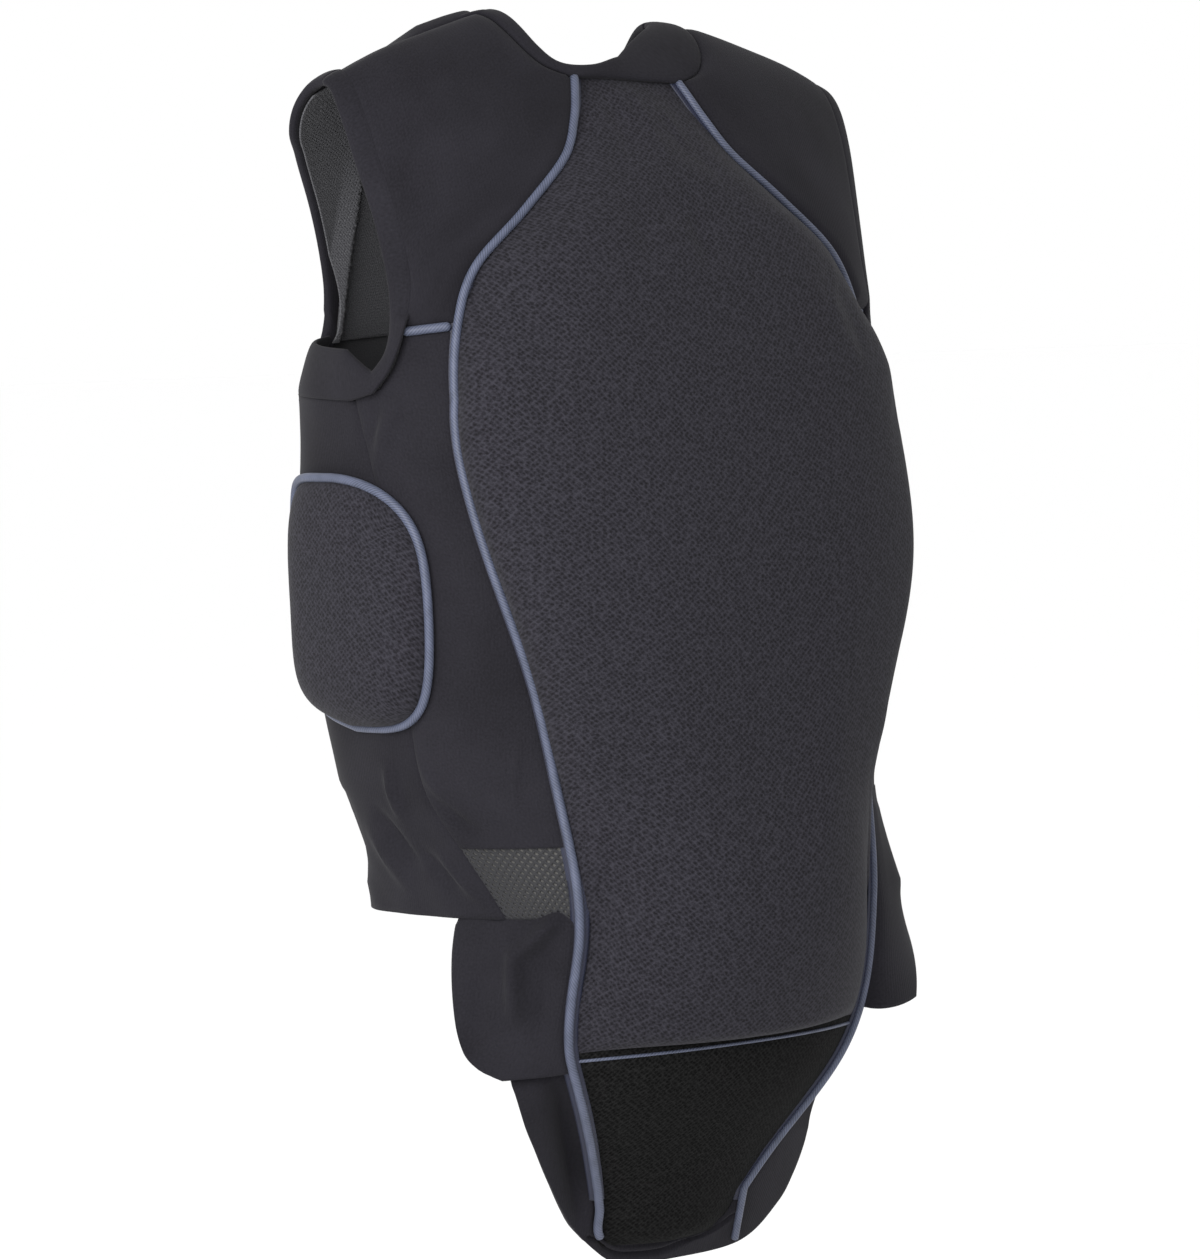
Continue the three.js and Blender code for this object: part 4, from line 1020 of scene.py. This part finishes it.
# The lip's navy is painted shade, standing for the dark grooves on both sides of the cord.
LIP_SHADE_DARK = "#0d1020"
LIP_SHADE_LIGHT = "#171b30"
PIPING_TWILL = 1.4 * MM
PIPING_MOTTLE = 9 * MM


def wrap_cord(girth, drop, height, radius, steps):
    """A round cord along a line on the body form, closed at both ends with a rounded tip."""
    line = place(girth, drop, height)
    length = length_along(line)
    bm, shares = new_grid(PIPING_AROUND, steps)
    along = shares[:, 1] * length[-1]
    lines = [np.interp(along, length, values) for values in (girth, drop, height)]
    core = place(*lines)
    up = place(lines[0], lines[1], lines[2] + CORD_PROBE) - core
    up /= np.linalg.norm(up, axis=1, keepdims=True)
    ahead = np.stack([np.interp(along + radius * MM, length, line[:, i]) for i in range(3)], -1)
    ahead -= np.stack([np.interp(along - radius * MM, length, line[:, i]) for i in range(3)], -1)
    across = np.cross(ahead, up)
    across /= np.linalg.norm(across, axis=1, keepdims=True)
    angle = 2 * np.pi * shares[:, 0]
    to_end = np.minimum(along, length[-1] - along) / MM
    width = radius * np.maximum(rolled(to_end, radius), CORD_TIP) * MM
    points = core + (np.cos(angle) * width)[:, None] * across + (np.sin(angle) * width)[:, None] * up
    move_points(bm.verts, points)
    lie_flat(bm, np.stack([angle * radius * MM, along], -1))
    return close_tube(bm, CORD_WELD)


def join(bm, other):
    """Adds another mesh to a piece, in the piece's second material."""
    mesh = bpy.data.meshes.new("part")
    for face in other.faces:
        face.material_index = 1
    other.to_mesh(mesh)
    other.free()
    bm.from_mesh(mesh)
    bpy.data.meshes.remove(mesh)
    return bm


# Satin piping cloth. Slate blue on the cord, and navy on its lip as painted shade for the grooves beside the
# cord, with a soft gloss, cut on the bias so that its twill runs round the cord at a slant. The twill is
# drawn coarser than the real one.
satins = {}
for name, dark, light in (
    ("slate_bias_cut_satin", PIPING_DARK, PIPING_LIGHT), ("navy_painted_shade_satin", LIP_SHADE_DARK, LIP_SHADE_LIGHT),
):
    satin = new_material(name)
    cut = add(satin, "ShaderNodeTexCoord").outputs["UV"]
    turned = add(satin, "ShaderNodeMapping", {"Vector": cut, "Rotation": (0, 0, DIAGONAL)})
    twill = add(satin, "ShaderNodeTexWave", {
        "Vector": turned.outputs["Vector"], "Scale": WAVE_REPEAT / PIPING_TWILL, "Distortion": 0.6})
    dull = add(satin, "ShaderNodeTexNoise", {"Vector": cut, "Scale": 1 / PIPING_MOTTLE, "Detail": 3})
    shade = add(satin, "ShaderNodeMix", {
        "Factor": 0.6, "A": twill.outputs["Fac"], "B": dull.outputs["Fac"]})
    colour = add(satin, "ShaderNodeValToRGB", {"Fac": shade.outputs["Result"]},
                 stops=[(0.25, dark), (0.7, light)])
    bump = add(satin, "ShaderNodeBump", {
        "Strength": 0.3, "Distance": 0.15 * MM, "Height": twill.outputs["Fac"]})
    shader = add(satin, "ShaderNodeBsdfPrincipled", {
        "Base Color": colour.outputs["Color"], "Roughness": 0.5, "Specular IOR Level": 0.3,
        "Sheen Weight": 0.03, "Normal": bump.outputs["Normal"]})
    add(satin, "ShaderNodeOutputMaterial", {"Surface": shader.outputs["BSDF"]})
    satins[name] = satin
piping_satin, shade_lip_satin = satins.values()

for name, side in SIDES.items():
    end, radius = PIPING_RUNS[side]

    def piping_line(drop):
        at_end = (side < 0) & (drop > RIGHT_END_DROPS[0])
        return np.where(at_end, np.interp(drop, RIGHT_END_DROPS, RIGHT_END_GIRTHS), pad_edge(drop))

    def lay_lip(across, down):
        drop = run_between(down, PIPING_TOP, end - LIP_SHORT, "back")
        aside = 2 * across - 1
        return piping_line(drop) + LIP_HALF_WIDTH * aside, drop, LIP_HEIGHT - LIP_FALL * aside**2

    drop = run_between(np.linspace(0, 1, PIPING_SAMPLES), PIPING_TOP, end, "back")
    height = PIPING_HEIGHT + (side < 0) * RIGHT_END_RISE * np.interp(drop, RIGHT_END_DROPS, (0, 1))
    cord = wrap_cord(side * piping_line(drop), drop, height, radius, PIPING_STEPS)
    # The navy lip beside the cord is painted shade for the grooves there.
    lip = lay_cloth(LIP_COLUMNS, PIPING_STEPS, lay_lip, side)
    bmesh.ops.solidify(lip, geom=lip.faces[:], thickness=LIP_THICKNESS * MM)
    piping = sew(f"piping_{name}_cord", join(cord, lip), piping_satin, "piping_cloth", f"piping_{name}")
    piping.data.materials.append(shade_lip_satin)
    ends = [pad_edge(YOKE_SEAM) + PIPING_CHANNEL, beside_arm("back", YOKE_SEAM)]
    girth = np.linspace(*ends, YOKE_PIPING_STEPS)
    height = np.full_like(girth, YOKE_PIPING_HEIGHTS[side])
    drop = np.full_like(girth, YOKE_SEAM)
    cord = wrap_cord(side * girth, drop, height, PIPING_RADIUS, YOKE_PIPING_STEPS)
    sew(f"yoke_piping_{name}_cord", cord, piping_satin, "piping_cloth", f"yoke_piping_{name}")

across = np.linspace(*CROSS_CORD_ENDS, CROSS_CORD_STEPS)
tail_line = lay_pad(across, np.full_like(across, CROSS_CORD_DOWN))
cross_cord = wrap_cord(*tail_line, CROSS_CORD_RADIUS, CROSS_CORD_STEPS)
sew("cross_seam_cord", cross_cord, piping_satin, "piping_cloth", "tail_pad")

# Side pads. A rounded foam pad under the same spacer knit on each flank, sewn on over the side seam and
# framed by a cord of its own.
SIDE_PAD_GIRTH = 229
SIDE_PAD_DROP = 309
SIDE_PAD_HALF_WIDTH = 52
SIDE_PAD_HALF_HEIGHT = 66
SIDE_PAD_POWER = 4.5
SIDE_PAD_TOP_SLANT = 14
SIDE_PAD_BOTTOM_RISE = 5
SIDE_PAD_BOTTOM_SLANT = 12
SIDE_PAD_FULL = 17.5
SIDE_PAD_LOW_FULLNESS = 4.5
SIDE_PAD_ROLL = 24
SIDE_PAD_BASE = 3.2
SIDE_PAD_RIM = 3.8
SIDE_PAD_STEPS = 56
SIDE_PIPING_HEIGHT = 6.3
SIDE_PIPING_SINK = 2
SIDE_PIPING_SINK_FROM = 0.55
SIDE_PIPING_STEPS = 300
SIDE_PIPING_LAP = 0.02


def side_outline(u, v, extra):
    """Girth and drop of a point of the side pad, from shares across and down."""
    girth = SIDE_PAD_GIRTH + u * (SIDE_PAD_HALF_WIDTH + extra)
    top_slant = SIDE_PAD_TOP_SLANT * np.maximum(-u, 0) ** 2
    bottom_slant = SIDE_PAD_BOTTOM_RISE + SIDE_PAD_BOTTOM_SLANT * np.maximum(u, 0)
    half_height = SIDE_PAD_HALF_HEIGHT - np.where(v < 0, top_slant, bottom_slant)
    return girth, SIDE_PAD_DROP + v * (half_height + extra)


def roundness(u, v):
    return (np.abs(u) ** SIDE_PAD_POWER + np.abs(v) ** SIDE_PAD_POWER) ** (-1 / SIDE_PAD_POWER)


for name, side in SIDES.items():

    def lay_side_pad(across, down):
        u = 2 * crowd(across) - 1
        v = 2 * crowd(down) - 1
        ring = np.maximum(np.abs(u), np.abs(v))
        pull = np.where(ring > 0, ring * roundness(u, np.where(ring > 0, v, 1)), 0)
        girth, drop = side_outline(u * pull, v * pull, PIPING_CHANNEL - PIPING_TUCK)
        full = SIDE_PAD_FULL + SIDE_PAD_LOW_FULLNESS * v * pull
        rise = rolled((1 - ring) * SIDE_PAD_HALF_WIDTH, SIDE_PAD_ROLL)
        return girth, drop, SIDE_PAD_RIM + (full - SIDE_PAD_RIM) * rise

    make_pad(f"side_pad_{name}", SIDE_PAD_STEPS, SIDE_PAD_STEPS, lay_side_pad, SIDE_PAD_BASE, side,
             spacer_knit, "spacer_knit")
    turn = np.linspace(-SIDE_PIPING_LAP, 2 * np.pi + SIDE_PIPING_LAP, SIDE_PIPING_STEPS)
    u = np.cos(turn)
    v = np.sin(turn)
    girth, drop = side_outline(u * roundness(u, v), v * roundness(u, v), PIPING_CHANNEL)
    sink = SIDE_PIPING_SINK * np.clip((v - SIDE_PIPING_SINK_FROM) / (1 - SIDE_PIPING_SINK_FROM), 0, 1)
    cord = wrap_cord(side * girth, drop, SIDE_PIPING_HEIGHT - sink, PIPING_RADIUS, SIDE_PIPING_STEPS)
    sew(f"side_pad_piping_{name}_cord", cord, piping_satin, "piping_cloth", f"side_pad_piping_{name}")

# Hip wings. Free softshell flaps below the hem, sewn into the piping on one edge only, so that the outer
# corner stands away from the body.
WING_TOP = 478
WING_GROWTH = 0.45
WING_TUCK = 8
WING_COVER = 2.5
WING_COVER_RISE = 12
WING_BLEND = 2.5
WING_BLEND_RISE = 1.7
WING_RIPPLE = (22, 70, 4.5, 0.7)
# The creases of the left wing: girth and drop of one end, girth and drop of the other, width, rise.
WING_FOLDS = [
    (108, 468, 139, 499, 4.5, 7.5),
    (138, 486, 130, 534, 4.5, 8.0),
    (119, 490, 114, 548, 7, -3.5),
    (154, 498, 147, 550, 7, -3.0),
]
# Side, top, bottom and flare of each wing, the power by which it spreads, how far its top is sunk under the
# hem, how much its outer corner rises, and its free edge, by the share of the way down and the girth.
# The right wing lies over the hem.
WINGS = {
    "left": (1, 470, 559, 8, 1, 5, 0, [(0, 174), (0.3, 172), (0.6, 164), (0.85, 153), (0.95, 142), (1, 130)]),
    "right": (-1, 424, 542, 26, 0.5, 0, 4, [(0, 178), (0.5, 166), (0.8, 147), (1, 132)]),
}
WING_COLUMNS = 40
WING_ROWS = 56

for name, (side, top, bottom, flare, spread, sink, rise, free_edge) in WINGS.items():

    def lay_wing(across, down):
        drop = top + (bottom - rise * across - top) * down
        inner = pad_edge(drop) - PIPING_LAP
        girth = inner + (smooth(free_edge, 1, down) - inner) * across
        below = np.clip((drop - WING_TOP) / (bottom - WING_TOP), 0, 1)
        above = np.clip((drop - HEM_FLARE_TOP) / (HEM - HEM_FLARE_TOP), 0, 1)
        hem_flare = HEM_FLARE[side] * above**HEM_FLARE_GROWTH
        lift = across**spread * (hem_flare + (flare - HEM_FLARE[side]) * below**WING_GROWTH)
        to_edge = np.maximum(girth - pad_edge(drop) - PIPING_TUCK, 0)
        if side < 0:
            cover = WING_COVER * np.clip(np.minimum(to_edge, drop - top) / WING_COVER_RISE, 0, 1)
            over_hem = (hem_lift(side, girth, np.minimum(drop, HEM)) + cover) * (1 - below)
            lift = WING_BLEND * np.logaddexp(lift / WING_BLEND, over_hem / WING_BLEND) - WING_BLEND_RISE
        lift = lift - sink * np.clip((WING_TOP - drop) / WING_TUCK, 0, 1)
        folds = ripple(girth, drop, WING_RIPPLE, side)
        if side > 0:
            folds += crease(girth, drop, WING_FOLDS)
        return girth, drop, panel_height(to_edge) + lift + folds * np.clip(to_edge / FOLD_FADE, 0, 1)

    wing = sew(f"hip_wing_{name}_cloth", lay_cloth(WING_COLUMNS, WING_ROWS, lay_wing, side),
               softshell, "softshell", f"hip_wing_{name}")
    thicken(wing, PANEL_THICKNESS - CLOTH_INSIDE)

# Tail flange. A flat softshell border round the tail, sewn into the piping down both sides of the tail pad,
# with a turned hem along its bottom.
# Columns: drop, girth of the free edge on the left, girth of the free edge on the right.
FLANGE_EDGE = [
    (552, 131, 100), (584, 112, 89), (602, 99, 87), (621, 85, 92), (639, 71, 92), (655, 56, 86),
    (674, 29, 61), (678, 0, 0),
]
FLANGE_TOP = 540
FLANGE_SINK = 4
FLANGE_SINK_END = 564
FLANGE_CORNER = 657
FLANGE_HEM = 665.5
FLANGE_CORNER_SHARE = 0.74
FLANGE_HEM_SHARE = 0.5
FLANGE_LIFT_LEFT = 5
# Place beside the piping, width and depth of the crease down the left of the flange.
FLANGE_CREASE = (8, 7, 13)
FLANGE_RIGHT_SINK = 3
FLANGE_RIGHT_SINK_DROPS = (590, 610)
# Place beside the tail pad, width and depth of the groove along the bottom hem.
HEM_GROOVE = (4.5, 1.3, 3.5)
FLANGE_COLUMNS = 24
FLANGE_ROWS = 200


def lay_flange(across, down):
    t = 1 - np.abs(2 * down - 1)
    is_left = down < GRID_HALF
    keyed = [(i / (len(FLANGE_EDGE) - 1), *row) for i, row in enumerate(FLANGE_EDGE)]
    outer_drop = smooth(keyed, 1, t)
    outer_girth = np.where(is_left, smooth(keyed, 2, t), smooth(keyed, 3, t))
    run = np.minimum(t / FLANGE_CORNER_SHARE, 1)
    turn = np.maximum((t - FLANGE_CORNER_SHARE) / (1 - FLANGE_CORNER_SHARE), 0)
    inner_drop = FLANGE_TOP + (FLANGE_CORNER - FLANGE_TOP) * run
    inner_drop = inner_drop + (FLANGE_HEM - inner_drop) * rolled(turn, FLANGE_HEM_SHARE)
    inner_girth = (pad_edge(inner_drop) - PIPING_LAP) * (1 - turn)
    girth = inner_girth + (outer_girth - inner_girth) * across
    drop = inner_drop + (outer_drop - inner_drop) * across
    width = np.hypot(outer_girth - inner_girth, outer_drop - inner_drop)
    lift = np.where(is_left, FLANGE_LIFT_LEFT, 0) * across**2 * (1 - t)
    lift = lift - FLANGE_SINK * np.clip((FLANGE_SINK_END - drop) / WING_TUCK, 0, 1)
    lift = lift - np.where(is_left, 0, FLANGE_RIGHT_SINK) * np.interp(drop, FLANGE_RIGHT_SINK_DROPS, (1, 0))
    to_edge = np.maximum(across * width - PIPING_LAP - PIPING_TUCK, 0)
    edge = panel_height(to_edge)
    place_beside, crease_width, depth = FLANGE_CREASE
    deep = np.where(is_left, depth, 0) * np.sin(np.pi * np.clip(t / FLANGE_CORNER_SHARE, 0, 1))
    groove = deep * np.exp(-(((to_edge - place_beside) / crease_width) ** 2))
    place_beside, crease_width, depth = HEM_GROOVE
    groove += depth * (t > FLANGE_CORNER_SHARE) * np.exp(-(((to_edge - place_beside) / crease_width) ** 2))
    return np.where(is_left, 1, -1) * girth, drop, edge + lift - groove


flange = lay_cloth(FLANGE_COLUMNS, FLANGE_ROWS, lay_flange, 1)
flange = sew("tail_flange_cloth", flange, softshell, "softshell", "tail_flange")
thicken(flange, PANEL_THICKNESS - CLOTH_INSIDE)

# Floor and light. A pale floor below the hanging vest, an even white surround and a broad soft light from
# above and behind the camera, as in a studio.
FLOOR_HEIGHT = -0.8
FLOOR_RADIUS = 30
FLOOR_SEGMENTS = 96
FLOOR_COLOUR = "#ffffff"
SURROUND = 1.0
SURROUND_COLOUR = "#ffffff"
KEY_POWER = 19
KEY_SIZE = 0.9
KEY_TOWARD = 1.1
KEY_ASIDE = 0.5
KEY_UP = 0.3
floor_bm = bmesh.new()
bmesh.ops.create_circle(floor_bm, cap_ends=True, radius=FLOOR_RADIUS, segments=FLOOR_SEGMENTS)
bmesh.ops.translate(floor_bm, verts=floor_bm.verts[:], vec=(0, 0, FLOOR_HEIGHT))
floor_mesh = bpy.data.meshes.new("floor")
floor_bm.to_mesh(floor_mesh)
floor_bm.free()
floor = bpy.data.objects.new("floor", floor_mesh)
bpy.context.scene.collection.objects.link(floor)
floor_paint = new_material("matt_studio_floor_paint")
shader = add(floor_paint, "ShaderNodeBsdfPrincipled", {"Base Color": linear(FLOOR_COLOUR), "Roughness": 0.9})
add(floor_paint, "ShaderNodeOutputMaterial", {"Surface": shader.outputs["BSDF"]})
floor_mesh.materials.append(floor_paint)
world = bpy.data.worlds.new("studio")
world.use_nodes = True
world.node_tree.nodes["Background"].inputs["Color"].default_value = linear(SURROUND_COLOUR)
world.node_tree.nodes["Background"].inputs["Strength"].default_value = SURROUND
bpy.context.scene.world = world
key_data = bpy.data.lights.new("key", "AREA")
key_data.energy = KEY_POWER
key_data.size = KEY_SIZE
key = bpy.data.objects.new("key", key_data)
bpy.context.scene.collection.objects.link(key)
key_way = toward * KEY_TOWARD - camera_right * KEY_ASIDE + camera_up * KEY_UP
key.location = CAMERA_TARGET + key_way
key.rotation_euler = key_way.to_track_quat("Z", "Y").to_euler()
bpy.context.scene.view_settings.view_transform = "Standard"
